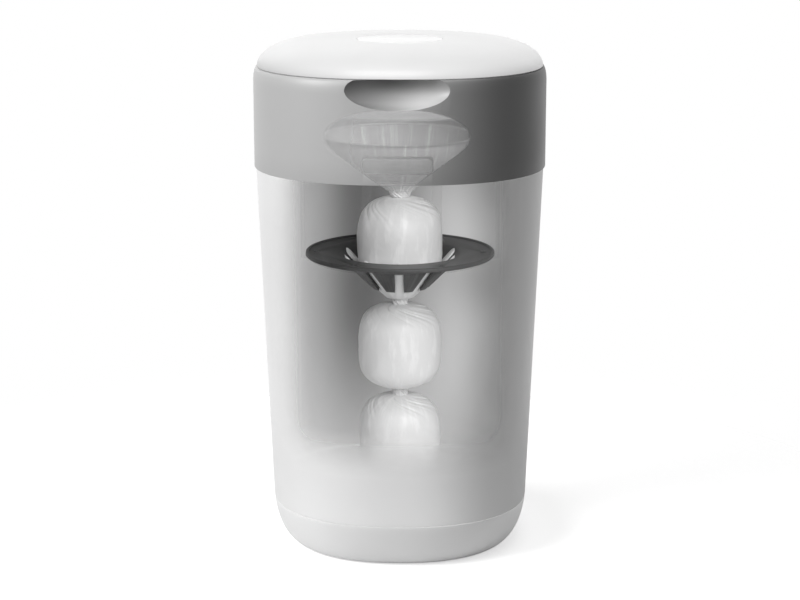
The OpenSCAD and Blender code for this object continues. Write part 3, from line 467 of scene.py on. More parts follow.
def clear_part(tree, place, opening):
    """The alpha of a surface that opens for the see-through view."""
    clear = use_group(tree, opening.group, place, opening.window)["Clear"]
    shown = 1.0 - opening.strength
    if opening.is_shell:
        facing = add(tree, "ShaderNodeLayerWeight", {"Blend": 0.5}).outputs["Facing"]
        shown = ramp(tree, facing, 0.6, 1.0, shown, EDGE_SHOWN)
    return ramp(tree, calc(tree, "POWER", clear, opening.ease), 0.0, 1.0, 1.0, shown, "LINEAR")


def let_light_in(tree, alpha, share):
    """An alpha that lets a share of the studio light through, so that the inside isn't dark."""
    rays = add(tree, "ShaderNodeLightPath").outputs
    indirect = calc(tree, "MAXIMUM", rays["Is Shadow Ray"], rays["Is Diffuse Ray"])
    closed = ramp(tree, indirect, 0.0, 1.0, 1.0, 1.0 - share, "LINEAR")
    return calc(tree, "MULTIPLY", closed, alpha)


def surface_colour(tree, place, shade, fade, tone, worn):
    """A plain colour, or painted light and shade across and up the piece, with a little change of tone,
    and paler along worn edges.
    """
    colour = across(tree, place, shade) if isinstance(shade, PaintedShading) else shade
    if fade:
        start, end, others = fade
        change = ramp(tree, millimetres(tree, place)["Z"], start, end)
        colour = mix_colours(tree, change, colour, across(tree, place, others))
    tint = add(tree, "ShaderNodeCombineColor", {0: tone, 1: tone, 2: tone}).outputs[0]
    return mix_colours(tree, worn, mix_colours(tree, 1.0, colour, tint, "MULTIPLY"), PALE)


def new_material(name):
    """A new material, its node tree and shader, and the place on the piece."""
    material = bpy.data.materials.new(name)
    material.use_nodes = True
    tree = material.node_tree
    return material, tree, tree.nodes["Principled BSDF"], add(tree, "ShaderNodeTexCoord").outputs["Object"]


def plastic(name, shade, roughness, opening=None, coat=0.0, wear=0.35, metal=0.0, lets_light=0.0, fade=None,
            painted_glow=0.0):
    """A moulded plastic or metal with grain, tone and worn edges, painted light and shade where its colour
    is given as shades across it, and a see-through front if it opens.

    lets_light is the share of the studio light that a shell of the see-through picture lets inside.
    fade is the start and end height in millimetres of a change to other painted shades, and those shades.
    The
    glow is painted light: how much of its own colour a wall gives out, to lift a wall that the lamps leave
    dark."""
    material, tree, shader, place = new_material(name)
    grain = use_group(tree, GRAIN, place)
    worn = use_group(tree, WEAR, place, {"Amount": wear})["Wear"]
    tone = ramp(tree, grain["Tone"], 0.3, 0.7, 0.97, 1.03, "LINEAR")
    colour = surface_colour(tree, place, shade, fade, tone, worn)
    relief = add(tree, "ShaderNodeBump", {"Height": grain["Height"], "Strength": 0.04, "Distance": 0.0002})
    alpha = clear_part(tree, place, opening) if opening else 1.0
    if lets_light:
        alpha = let_light_in(tree, alpha, lets_light)
    set_inputs(tree, shader, {
        "Base Color": colour,
        "Roughness": ramp(tree, grain["Tone"], 0.3, 0.7, roughness - 0.04, roughness + 0.05, "LINEAR"),
        "Normal": relief.outputs["Normal"],
        "Alpha": alpha,
        "Metallic": metal,
        "Coat Weight": coat,
        "Coat Roughness": 0.12,
    })
    # Painted light: the wall gives out its own colour
    if painted_glow:
        set_inputs(tree, shader, {"Emission Color": colour, "Emission Strength": painted_glow})
    return material


def film(name, level, pale, thin, thick, around, along, bump):
    """Cloudy film with paler streaks along its folds; its alpha goes from thin to thick with them."""
    material, tree, shader, place = new_material(name)
    lay = use_group(tree, STREAK, place, {"Around": around, "Along": along})["Streak"]
    streak = ramp(tree, lay, 0.5, 0.66)
    relief = add(tree, "ShaderNodeBump", {"Height": lay, "Strength": bump, "Distance": 0.0012})
    set_inputs(tree, shader, {
        "Base Color": mix_colours(tree, streak, grey(level), grey(pale)),
        "Roughness": ramp(tree, streak, 0.0, 1.0, 0.55, 0.42, "LINEAR"),
        "Normal": relief.outputs["Normal"],
        "Alpha": ramp(tree, streak, 0.0, 1.0, thin, thick, "LINEAR") if thin < 1.0 else 1.0,
        "Coat Weight": 0.08,
        "Coat Roughness": 0.3,
    })
    return material


# Painted shade on the tub's inside wall: dark left of the middle and behind the nappies, light at the sides
INSIDE_WALL_PAINTED_SHADE = PaintedShading(110, (230, 220, 112, 104, 144, 191, 219, 169, 163))
# The same wall low down, where the painted shade grows paler towards the bottom
LOW_INSIDE_WALL_PAINTED_SHADE = PaintedShading(110, (252, 232, 180, 206, 185, 138, 158))
# Painted shade on the tub's outside: lighter on the left, darker towards the right
TUB_PAINTED_SHADE = PaintedShading(126, (224, 234, 243, 244, 254, 210, 188))
# Painted shade on the collar and its button: light on the left, near black on the right
COLLAR_PAINTED_SHADE = PaintedShading(126, (170, 187, 194, 190, 165, 150, 38, 26))
# Painted shade and highlight in the finger scoop: darker on the left, a painted highlight towards the lower
# right
SCOOP_PAINTED_LIGHT = PaintedShading(44, (128, 140, 180, 223, 181))
# Painted shadow under the lid, at the top of the scoop
SCOOP_TOP_PAINTED_SHADOW = PaintedShading(44, (89, 106, 68, 170, 148))
# Painted shade and sheen on the dish: darker on the left, a painted sheen on the right
DISH_PAINTED_SHEEN = PaintedShading(86, (35, 57, 89))

TUB_OUTSIDE = Opening(TUB_WINDOW, WINDOW, 1.0, 0.8, True)
TUB_LINING = Opening(TUB_WINDOW, WINDOW, 1.0, 0.2, True)
COLLAR_FRONT = Opening(CONE_WINDOW, CONE, 0.62, 0.8, True)
BUTTON_FRONT = Opening(CONE_WINDOW, CONE, 0.5, 0.8, True)
INNER_FRONT = Opening(INNER_WINDOW, WINDOW, 1.0, 0.8, False)

# The tub's outside carries the painted shade above
TUB_WHITE = plastic("tub_white", TUB_PAINTED_SHADE, 0.42, TUB_OUTSIDE, wear=0.0, lets_light=0.95)
# The tub's inside: painted shade across and up it, and a painted glow that lifts it
TUB_INSIDE = plastic("tub_inside", INSIDE_WALL_PAINTED_SHADE, 0.6, TUB_LINING, wear=0.0, lets_light=0.95,
                     fade=(198.0, 20.0, LOW_INSIDE_WALL_PAINTED_SHADE), painted_glow=0.25)
# The collar carries the painted shade above
COLLAR_GREY = plastic("collar_grey", COLLAR_PAINTED_SHADE, 0.38, COLLAR_FRONT, wear=0.0, lets_light=0.95)
# The scoop: painted shade and highlight, darkening to a painted shadow at its top
SCOOP_GREY = plastic("scoop_grey", SCOOP_PAINTED_LIGHT, 0.38, wear=0.0, lets_light=0.95,
                     fade=(411.0, 425.0, SCOOP_TOP_PAINTED_SHADOW))
# The button carries the collar's painted shade
BUTTON_GREY = plastic("button_grey", COLLAR_PAINTED_SHADE, 0.34, BUTTON_FRONT, wear=0.6, lets_light=0.95)
LID_WHITE = plastic("lid_white", grey(235), 0.4, coat=0.12, wear=0.0)
INLAY_WHITE = plastic("inlay_white", grey(252), 0.25, coat=0.3)
PAN_WHITE = plastic("pan_white", grey(233), 0.42, wear=0.0)
INNER_GREY = plastic("inner_grey", grey(190), 0.5, INNER_FRONT, lets_light=0.95)
INNER_WHITE = plastic("inner_white", grey(225), 0.5, INNER_FRONT, lets_light=0.95)
SURROUND_WHITE = plastic("surround_white", grey(225), 0.45, lets_light=0.95)
CASSETTE_GREY = plastic("cassette_grey", grey(185), 0.45, INNER_FRONT, lets_light=0.95)
HANGER_CLEAR = plastic("hanger_clear", grey(235), 0.15)
HANGER_CLEAR.node_tree.nodes["Principled BSDF"].inputs["Alpha"].default_value = 0.06
# The dish carries the painted shade and sheen above
DISH_DARK = plastic("dish_dark", DISH_PAINTED_SHEEN, 0.42, wear=0.1)
FINGER_WHITE = plastic("finger_white", grey(232), 0.4, wear=0.0)
CUTTER_RED = plastic("cutter_red", (0.45, 0.08, 0.06, 1.0), 0.4)
SEAL_RUBBER = plastic("seal_rubber", grey(90), 0.7, wear=0.0)
PIN_STEEL = plastic("pin_steel", grey(200), 0.3, metal=1.0)
FRONT_STEEL = plastic("front_steel", grey(200), 0.3, INNER_FRONT, metal=1.0)
WRAPPED_FILM = film("wrapped_film", 234, 243, 1.0, 1.0, 5.0, 32.0, 0.25)
FILM = film("film", 232, 252, 0.76, 0.95, 17.0, 5.0, 0.3)


# ---------- shells ----------


def make_tub():
    """The tapered tub with its rim and centring lip."""
    bottom = SEAM_Z + SEAM_GAP
    rim_z = TUB_H - RUN_GAP
    lip_out = COLLAR_HALF - WALL - 1
    gusset_z = rim_z - RIM_T - 4
    outer = [(tub_at(z), z) for z in steps(bottom, HEEL_H, 4) + steps(80, rim_z - 1, 6)]
    inner = [(tub_at(z) - WALL, z) for z in steps(gusset_z, 80, 6) + steps(HEEL_H, bottom, 4)]
    mouth = [
        (TUB_HALF - 0.8, rim_z),
        (lip_out, rim_z),
        (lip_out, TUB_H + LIP_H),
        (lip_out - LIP_T, TUB_H + LIP_H),
        (lip_out - LIP_T, rim_z),
        (TUB_HALF - RIM_W, rim_z),
        (TUB_HALF - RIM_W, rim_z - RIM_T),
    ]
    tub = loft("tub_wall", outer + mouth + inner, True)
    outward(tub)
    for side in (-1, 1):
        root = plan_depth(TUB_HALF, EAR_TO) - WALL / 4
        web = [
            (root - 0.6, COLLAR_AXIS[1] - 18),
            (root, rim_z - 1.2),
            (COLLAR_HALF + 0.4, rim_z - 1.2),
            (COLLAR_AXIS[0], COLLAR_AXIS[1] + KNUCKLE_R - 0.6),
            (COLLAR_AXIS[0] + KNUCKLE_R - 0.4, COLLAR_AXIS[1] - 1.5),
            (COLLAR_AXIS[0] + 1.5, COLLAR_AXIS[1] - KNUCKLE_R),
        ]
        ear = knuckle("ear", sorted((side * EAR_FROM, side * EAR_TO)), COLLAR_AXIS, web)
        combine(tub, ear, "UNION")
    soften(tub, 0.35)
    finish_piece(tub, TUB_WHITE, "tub", "tub_white", "tub_shell")
    line_inside(tub, TUB_INSIDE)


def line_inside(obj, material, brim=math.inf):
    """Gives the faces that look towards the Z axis, or lie above the brim, a material of their own."""
    obj.data.materials.append(material)
    for face in obj.data.polygons:
        inward = -(face.center.x * face.normal.x + face.center.y * face.normal.y)
        if inward > 0.5 * math.hypot(face.center.x, face.center.y) or face.center.z > brim * MM:
            face.material_index = 1


def knuckle(name, ends, axis, web):
    """A hinge knuckle between two x values, with its web, as one closed mesh in millimetres."""
    low, high = ends
    block = prism(name, web, low, high)
    ring = [(axis[0] + KNUCKLE_R * math.cos(a), axis[1] + KNUCKLE_R * math.sin(a)) for a in full_turn(48)]
    combine(block, prism("barrel", ring, low, high), "UNION")
    return block


def prism(name, outline, low, high, axis=0):
    """An outline of pairs drawn out along the axis numbered 0 to 2; each pair gives the other two values."""
    points = [[*pair[:axis], value, *pair[axis:]] for value in (low, high) for pair in outline]
    made = new_piece(name, points, band_faces(2, len(outline)) + end_faces(2, len(outline)))
    outward(made)
    return made


def make_pan():
    """The rounded base pan with its spigot inside the tub."""
    spigot_out = tub_at(SEAM_Z) - WALL - SPIGOT_IN
    spigot_in = spigot_out - SPIGOT_T
    foot_in = FOOT_HALF - WALL
    outer_end = math.acos(1 - SEAM_Z / HEEL_H)
    inner_end = math.asin((spigot_in - foot_in) / (HEEL_HALF - FOOT_HALF))
    outer = [
        (FOOT_HALF + (HEEL_HALF - FOOT_HALF) * math.sin(a), HEEL_H * (1 - math.cos(a)))
        for a in steps(0, outer_end, 16)
    ]
    spigot = [(spigot_out, SEAM_Z), (spigot_out, SEAM_Z + SPIGOT_H), (spigot_in, SEAM_Z + SPIGOT_H)]
    inner = [
        (foot_in + (HEEL_HALF - FOOT_HALF) * math.sin(a), FLOOR_T + HEEL_H * (1 - math.cos(a)))
        for a in steps(inner_end, 0, 16)
    ]
    pan = loft("base_pan_moulding", outer + spigot + inner, False)
    outward(pan)
    soften(pan, 0.35)
    finish_piece(pan, PAN_WHITE, "tub", "tub_white", "base_pan")
    line_inside(pan, TUB_INSIDE, SEAM_Z + SPIGOT_H - 1)


def shoulder(inset=0.0):
    """The collar's outer section, from its lower edge to the lid seam."""
    quarter = [
        (
            COLLAR_HALF - inset - SHOULDER_IN * (1 - math.cos(a)),
            COLLAR_TOP - SHOULDER_H + SHOULDER_H * math.sin(a),
        )
        for a in steps(0, math.pi / 2, 10)
    ]
    return [(COLLAR_HALF - inset, z) for z in steps(TUB_H, COLLAR_TOP - SHOULDER_H, 4)[:-1]] + quarter


def scoop_lens(grow=0.0):
    """The lens-shaped body of the finger scoop, on its side, grown in millimetres."""
    arc, count = steps(-math.pi / 2, math.pi / 2, 40), 96
    points = []
    for a in arc:
        r = (SCOOP_R + grow) * math.cos(a)
        x = (SCOOP_HALF + grow) * math.sin(a)
        points += [(x, *at_turn(r, t)) for t in full_turn(count)]
    lens = new_piece("scoop", points, band_faces(len(arc), count))
    lens.data.transform(Matrix.Translation(Vector(SCOOP_PLACE) * MM))
    outward(lens)
    return lens


def button_hole():
    """A prism of the release button's rounded hole, through the collar's front wall."""
    outline = []
    for corner, (sx, sz) in enumerate(((1, 1), (-1, 1), (-1, -1), (1, -1))):
        for a in steps(0, math.pi / 2, 6):
            turn = a + corner * math.pi / 2
            x = sx * (BUTTON_W / 2 - BUTTON_CORNER) + BUTTON_CORNER * math.cos(turn)
            z = BUTTON_Z + sz * (BUTTON_H / 2 - BUTTON_CORNER) + BUTTON_CORNER * math.sin(turn)
            outline.append((x, z))
    return prism("button_hole", outline, -COLLAR_HALF - 5, -COLLAR_HALF + 8, 1)


def make_collar():
    """The grey collar with its finger scoop, flange, button hole and hinge knuckles."""
    inside = COLLAR_HALF - WALL
    section = shoulder() + [
        (LID_HALF - FLANGE_W, COLLAR_TOP),
        (LID_HALF - FLANGE_W, COLLAR_TOP - WALL),
        (LID_HALF - WALL, COLLAR_TOP - WALL),
        (inside, COLLAR_TOP - WALL - SHOULDER_H * 0.6),
        (inside, TUB_H),
    ]
    collar = loft("collar_moulding", section, True)
    outward(collar)
    bowl = loft("scoop_bowl", shoulder(0.02), False)
    outward(bowl)
    combine(bowl, scoop_lens(WALL), "INTERSECT")
    combine(collar, bowl, "UNION")
    combine(collar, scoop_lens(), "DIFFERENCE")
    combine(collar, button_hole(), "DIFFERENCE")
    middle = plan_depth(COLLAR_HALF, KNUCKLE_HALF) - WALL / 4
    web = [
        (middle, TUB_H + 1.5),
        (middle, TUB_H + 18),
        (COLLAR_AXIS[0] + KNUCKLE_R - 0.6, COLLAR_AXIS[1] + 2),
        (COLLAR_AXIS[0] + 1, COLLAR_AXIS[1]),
        (COLLAR_AXIS[0] - KNUCKLE_R + 0.6, COLLAR_AXIS[1] + 1.5),
    ]
    combine(collar, knuckle("middle_knuckle", (-KNUCKLE_HALF, KNUCKLE_HALF), COLLAR_AXIS, web), "UNION")
    root = plan_depth(COLLAR_HALF, EAR_TO) - WALL / 4
    for side in (-1, 1):
        web = [
            (root, COLLAR_TOP - SHOULDER_H - 6),
            (root, COLLAR_TOP - SHOULDER_H),
            (LID_AXIS[0] - KNUCKLE_R + 0.5, LID_AXIS[1] - 1),
            (LID_AXIS[0], LID_AXIS[1]),
            (LID_AXIS[0] + KNUCKLE_R - 0.3, LID_AXIS[1] - 1),
        ]
        ear = knuckle("ear", sorted((side * EAR_FROM, side * EAR_TO)), LID_AXIS, web)
        combine(collar, ear, "UNION")
    soften(collar, 0.35)
    finish_piece(collar, COLLAR_GREY, "collar", "collar_grey", "collar_housing")
    line_scoop(collar, SCOOP_GREY)


def line_scoop(obj, material):
    """Gives the faces of the finger scoop a material of their own."""
    obj.data.materials.append(material)
    for face in obj.data.polygons:
        place = face.center / MM - Vector(SCOOP_PLACE)
        across_lens = Vector((place.x / SCOOP_HALF, place.y / SCOOP_R, place.z / SCOOP_R))
        if across_lens.length < 1.03 and across_lens.dot(face.normal) < -0.3:
            face.material_index = 1


def dome(half, rise):
    """Section of the lid's dome, from its edge to the middle."""
    return [
        (half * math.sin(a) ** (2 / LID_POWER), LID_Z + max(LID_GAP, rise * math.cos(a)))
        for a in [math.pi / 2 - b for b in steps(0, math.pi / 2 - 0.004, 28)]
    ]


def make_lid():
    """The domed lid with its knuckle and the seat of the inlay."""
    inner = dome(LID_HALF - LID_WALL, LID_RISE - LID_WALL)
    lid = loft("lid_dome", list(reversed(inner)) + dome(LID_HALF, LID_RISE), False)
    outward(lid)
    web = [
        (LID_HALF - 2, LID_AXIS[1] - 0.7),
        (LID_HALF - 2, LID_AXIS[1] + KNUCKLE_R - 0.4),
        (LID_AXIS[0], LID_AXIS[1] + KNUCKLE_R - 0.1),
        (LID_AXIS[0] + 1, LID_AXIS[1]),
        (LID_AXIS[0] - KNUCKLE_R + 0.5, LID_AXIS[1] - 0.7),
    ]
    combine(lid, knuckle("lid_knuckle", (-KNUCKLE_HALF, KNUCKLE_HALF), LID_AXIS, web), "UNION")
    top = LID_Z + LID_RISE
    low, high = top - INLAY_SEAT, top + 2
    seat = revolve("seat", [(0.01, low), (INLAY_SEAT_R, low), (INLAY_SEAT_R, high), (0.01, high)])
    seat.data.transform(Matrix.Translation((0, -INLAY_FRONT * MM, 0)))
    outward(seat)
    combine(lid, seat, "DIFFERENCE")
    soften(lid, 0.3)
    finish_piece(lid, LID_WHITE, "lid", "lid_white", "lid_shell")


# ---------- moulded pieces taken from the frame ----------


def moulded(node, material, slot, width, angle=35.0):
    """A clean copy of a node with rounded edges, which stands for it."""
    source = frame["nodes"][node]
    obj = bpy.data.objects.new(node + "_finished", source.data.copy())
    bpy.context.scene.collection.objects.link(obj)
    bm = bmesh.new()
    bm.from_mesh(obj.data)
    bmesh.ops.remove_doubles(bm, verts=bm.verts, dist=2e-6)
    bmesh.ops.dissolve_limit(bm, angle_limit=math.radians(0.6), verts=bm.verts, edges=bm.edges)
    bm.to_mesh(obj.data)
    bm.free()
    if width:
        soften(obj, width, angle)
    else:
        shade(obj, angle)
    body = next(name for name, nodes in frame["record"]["behaviour"]["bodies"].items() if node in nodes)
    return finish_piece(obj, material, body, slot, node)


MOULDED = (
    ("latch_keeper", INNER_WHITE, "inner_white", 0.3),
    ("collar_hinge_pin", PIN_STEEL, "pin_steel", 0.2),
    ("lid_hinge_pin", PIN_STEEL, "pin_steel", 0.2),
    ("top_surround", SURROUND_WHITE, "inner_white", 0.3),
    ("deck", INNER_GREY, "inner_grey", 0.3),
    ("lid_tray", SURROUND_WHITE, "inner_white", 0.3),
    ("lid_seal", SEAL_RUBBER, "seal_rubber", 0.2),
    ("lid_inlay", INLAY_WHITE, "inlay_white", 0.15),
    ("turning_ring", INNER_WHITE, "inner_white", 0.3),
    ("click_ring", INNER_GREY, "inner_grey", 0.15),
    ("click_pawls", CASSETTE_GREY, "cassette_grey", 0.15),
    ("cassette_tray", CASSETTE_GREY, "cassette_grey", 0.3),
    ("cassette_cover", CASSETTE_GREY, "cassette_grey", 0.3),
    ("film_pack", INNER_WHITE, "inner_white", 0.0),
    ("gripper_hanger", HANGER_CLEAR, "inner_grey", 0.3),
    ("gripper_dish", DISH_DARK, "dish_dark", 0.3),
    ("gripper_fingers", FINGER_WHITE, "finger_white", 0.25),
    ("release_button", BUTTON_GREY, "collar_grey", 0.25),
    ("latch_arm", INNER_GREY, "inner_grey", 0.2),
    ("button_spring", FRONT_STEEL, "pin_steel", 0.0),
    ("cutter_slide", CUTTER_RED, "cutter_red", 0.3),
    ("cutter_blade", PIN_STEEL, "pin_steel", 0.0),
    ("hanger_screws", PIN_STEEL, "screw_steel", 0.15),
    ("pawl_screws", PIN_STEEL, "screw_steel", 0.15),
)


def press_spring():
    """Gives the button's coil spring a mesh of its own."""
    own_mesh(bpy.data.objects["button_spring_finished"])


def round_the_axis():
    """A node tree that repeats a piece round the Z axis, at even steps."""
    tree = bpy.data.node_groups.new("round_the_axis", "GeometryNodeTree")
    sockets = {}
    kinds = {"Piece": "Geometry", "Count": "Int", "First Angle": "Float", "Finish": "Material"}
    for key, kind in kinds.items():
        made = tree.interface.new_socket(key, in_out="INPUT", socket_type="NodeSocket" + kind)
        sockets[key] = made.identifier
    tree.interface.new_socket("Piece", in_out="OUTPUT", socket_type="NodeSocketGeometry")
    given = tree.nodes.new("NodeGroupInput").outputs
    points = add(tree, "GeometryNodePoints", {"Count": given["Count"]})
    number = add(tree, "GeometryNodeInputIndex").outputs[0]
    step = calc(tree, "DIVIDE", 2 * math.pi, given["Count"])
    angle = calc(tree, "ADD", calc(tree, "MULTIPLY", number, step), given["First Angle"])
    about_z = add(tree, "ShaderNodeCombineXYZ", {2: angle}).outputs[0]
    turn = add(tree, "FunctionNodeEulerToRotation", {0: about_z})
    copies = add(tree, "GeometryNodeInstanceOnPoints",
                 {"Points": points.outputs[0], "Instance": given["Piece"], "Rotation": turn.outputs[0]})
    real = add(tree, "GeometryNodeRealizeInstances", {0: copies.outputs[0]})
    finished = add(tree, "GeometryNodeSetMaterial",
                   {"Geometry": real.outputs[0], "Material": given["Finish"]})
    tree.links.new(finished.outputs[0], tree.nodes.new("NodeGroupOutput").inputs["Piece"])
    return tree, sockets


def repeat_round(obj, tree, sockets, count, first_angle, material):
    """Repeats a piece round the Z axis and leaves plain mesh."""
    copies = obj.modifiers.new("copies", "NODES")
    copies.node_group = tree
    copies[sockets["Count"]] = count
    copies[sockets["First Angle"]] = math.radians(first_angle)
    copies[sockets["Finish"]] = material
    settle(obj)
    shade(obj, 40.0)


SCREW_HEAD_R = 2.8
SCREW_SHANK_R = 1.45
RECESS = 0.45


def one_screw(name, reach, head_z, head_h, shank_end, up):
    """A pan-head screw with a cross recess, at a distance from the axis; up is 1 or -1 for its head."""
    top, shank_end = head_h * up, shank_end - head_z
    screw = revolve(name, [
        (0.01, 0), (SCREW_SHANK_R, 0), (SCREW_HEAD_R, 0), (SCREW_HEAD_R, top * 0.45),
        (SCREW_HEAD_R * 0.82, top * 0.85), (SCREW_HEAD_R * 0.45, top), (0.01, top),
    ], 32)
    outward(screw)
    ends = ((0.01, shank_end), (SCREW_SHANK_R, shank_end), (SCREW_SHANK_R, top * 0.2), (0.01, top * 0.2))
    shank = revolve("shank", ends, 20)
    outward(shank)
    combine(screw, shank, "UNION")
    low, high = sorted((top * 0.35, top * 1.5))
    for wide, deep in ((SCREW_HEAD_R * 0.62, RECESS), (RECESS, SCREW_HEAD_R * 0.62)):
        outline = ((-wide, -deep), (wide, -deep), (wide, deep), (-wide, deep))
        slot = prism("recess", outline, low, high, 2)
        combine(screw, slot, "DIFFERENCE")
    screw.data.transform(Matrix.Translation(Vector((reach, 0, head_z)) * MM))
    return screw


def make_screws():
    """The rings of equal screws: under the dish, under the deck and under the lid's tray."""
    tree, sockets = round_the_axis()
    for node, body, slot, material, count, first, up, head_h in (
        ("dish_screws", "collar", "dish_dark", DISH_DARK, 6, 0.0, 1, 0.96),
        ("deck_screws", "collar", "screw_steel", PIN_STEEL, 4, 45.0, -1, 1.6),
        ("lid_screws", "lid", "screw_steel", PIN_STEEL, 4, 45.0, -1, 1.6),
    ):
        low, high = (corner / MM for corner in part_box(node))
        reach = (high.x - SCREW_HEAD_R) / math.cos(math.radians(first))
        head_z, end = (high.z - head_h, low.z) if up > 0 else (low.z + head_h, high.z)
        screw = one_screw(node + "_finished", reach, head_z, head_h, end, up)
        repeat_round(screw, tree, sockets, count, first, material)
        finish_piece(screw, material, body, slot, node)


# ---------- film and wrapped nappies ----------


PARCEL_POWER = 4.0
LOWER_NECK = 3.0
NECK_TWIST = 0.14
TWIST_R = 7.5
CROWN_R = 14.0
GRIP_SLOPE = 37.5 / 37.0
PARCEL_ROUND = 300
PARCEL_LEVELS = 210
FUNNEL_ROUND = 360
FUNNEL_LEVELS = 60
FUNNEL_RIM_R = 64.0
FUNNEL_NECK_R = 13.4


def sheath(name, rows):
    """A closed skin through rings of points, all of the same count, from bottom to top."""
    count = len(rows[0])
    faces = band_faces(len(rows), count) + end_faces(len(rows), count)
    obj = new_piece(name, [p for row in rows for p in row], faces)
    shade(obj, 60.0)
    return obj


def folds(angle, seed):
    """Folds of gathered film round an axis: 0 in the pinched creases, up to 1 between them."""
    wander = 0.35 * noise.noise((*at_turn(2.2, angle), seed))
    wide = abs(math.sin(4.5 * (angle + wander) + seed)) ** 0.6
    fine = abs(math.sin(11.0 * (angle - 0.7 * wander) + 2 * seed)) ** 0.7
    return 0.62 * wide + 0.38 * fine


def parcel_half(share, peak):
    """Half width of a parcel at a share of its body's height."""
    return TWIST_R + (peak - TWIST_R) * math.sqrt(max(0.0, 1 - abs(2 * share - 1) ** PARCEL_POWER))


def parcel_row(z, half, body, turn, seed, limit):
    """One ring of a parcel's skin, gathered in folds towards the ends and lumpy between them."""
    gathered = abs(2 * body - 1) ** 3.6
    firm = min(1.0, half / 25)
    row = []
    for a in full_turn(PARCEL_ROUND):
        at = Vector((*at_turn(1, a), 0)) * half + Vector((0, 0, z + 200 * seed))
        pinch = folds(a + turn, seed)
        lumps = noise.noise(at * 0.035) * (1 - gathered)
        crumple = noise.ridged_multi_fractal(at * 0.055, 0.9, 2.1, 4, 1.0, 2.0)
        runs = noise.noise(Vector((*at_turn(9, a + turn), z * 0.02 + seed)))
        r = half - (0.3 + 0.2 * half * gathered) * (1 - pinch) * (0.1 + gathered)
        r += (1.1 * lumps - 0.55) * firm
        r += (0.22 * (crumple - 1.6) + 0.45 * runs * (0.12 + gathered)) * firm
        if limit:
            r = min(r, limit(z) + 0.2)
        row.append((*at_turn(r, a), z))
    return row


def parcel_skin(name, low, high, peak, seed, neck, limit=None, top_half=TWIST_R):
    """A stuffed parcel of film: a drum with round shoulders, gathered to a twisted neck at both ends.

    neck is the height of the upper one; limit gives the half width that the gripper leaves at a height."""
    neck_low, neck_high = low + (0 if limit else LOWER_NECK), high - neck
    rows = []
    for level in range(PARCEL_LEVELS + 1):
        z = low + (high - low) * (1 - math.cos(math.pi * level / PARCEL_LEVELS)) / 2
        body = min(1.0, max(0.0, (z - neck_low) / (neck_high - neck_low)))
        half = parcel_half(body, peak)
        if z > neck_high:
            half = TWIST_R + (top_half - TWIST_R) * ((z - neck_high) / neck) ** 0.5
        if limit:
            half = min(half, limit(z))
        turn = (1.5 if body > 0.5 else -1.0) * abs(2 * body - 1) ** 5 + 0.05 * math.sin(6 * body + seed)
        turn += NECK_TWIST * max(0.0, z - neck_high)
        rows.append(parcel_row(z, half, body, turn, seed, limit))
    return sheath(name, rows)


def make_nappies():
    """The chain of wrapped nappies, gathered and twisted between one and the next."""
    low, high = (corner.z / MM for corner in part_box("wrapped_nappy_upper"))
    crown_z = low + 1.31

    def grip(z):
        return max(TWIST_R, CROWN_R + (z - crown_z - 1.14) / GRIP_SLOPE - 0.6)

    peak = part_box("wrapped_nappy_upper")[1].x / MM
    upper = parcel_skin("nappy_in_gripper", low, high, peak, 0.7, 6.5, grip, 11.5)
    finish_piece(upper, WRAPPED_FILM, "collar", "wrapped_film", "wrapped_nappy_upper")
    for name, node, seed, neck in (
        ("nappy_below_gripper", "wrapped_nappy_middle", 1.9, 7.0),
        ("nappy_lowest", "wrapped_nappy_lower", 3.2, 5.0),
    ):
        low, high = (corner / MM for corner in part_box(node))
        parcel = parcel_skin(name, low.z, high.z, high.x, seed, neck)
        finish_piece(parcel, WRAPPED_FILM, "tub", "wrapped_film", node)


def make_funnel():
    """Film drawn from the cassette's slot and gathered in pleats to its twisted neck."""
    low, high = (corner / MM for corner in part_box("film_funnel"))
    rim_z, neck_z, turns = high.z - 0.4, low.z, full_turn(FUNNEL_ROUND)
    points = [(*at_turn(high.x, a), rim_z) for a in turns]
    for t in steps(0, 1, FUNNEL_LEVELS):
        half = FUNNEL_NECK_R + (FUNNEL_RIM_R - FUNNEL_NECK_R) * (1 - t ** 2.5) ** 1.45
        depth = 0.3 + 1.5 * math.sin(math.pi * min(1.0, 1.15 * t)) ** 0.8 * (half / FUNNEL_RIM_R) ** 0.3
        for a in turns:
            pinch = folds(a + 0.5 * t ** 2, 5.3)
            r = half - depth * (1 - pinch) * min(1.0, 4 * t)
            points.append((*at_turn(r, a), rim_z + (neck_z - rim_z) * t))
    faces = band_faces(FUNNEL_LEVELS + 2, FUNNEL_ROUND)
    funnel = new_piece("film_funnel_pleated", points, faces)
    skin = funnel.modifiers.new("skin", "SOLIDIFY")
    skin.thickness = 0.25 * MM
    skin.offset = 0
    settle(funnel)
    outward(funnel)
    shade(funnel, 60.0)
    finish_piece(funnel, FILM, "turning_unit", "film", "film_funnel")


def make_tail():
    """The knotted end of the film, gathered above and below its knot."""
    low, high = (corner.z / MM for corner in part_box("film_tail"))
    span = high - low
    outline = ((0, 14.5), (0.2, 12.6), (0.38, 6), (0.44, 6), (0.52, 8.6), (0.6, 9.5), (0.68, 9), (0.8, 6),
               (1.0, 7.5))
    rows = []
    for share in steps(0, 1, 70):
        after = next(i for i, (at, _) in enumerate(outline) if at >= share)
        (a0, r0), (a1, r1) = outline[max(0, after - 1)], outline[after]
        blend = 0 if a1 == a0 else (share - a0) / (a1 - a0)
        half = r0 + (r1 - r0) * (3 * blend ** 2 - 2 * blend ** 3)
        row = []
        for a in full_turn(160):
            r = half * (0.86 + 0.14 * folds(a + 2.2 * share, 2.4))
            row.append((*at_turn(r, a), low + span * share))
        rows.append(row)
    tail = sheath("film_tail_knotted", rows)
    finish_piece(tail, WRAPPED_FILM, "tub", "wrapped_film", "film_tail")


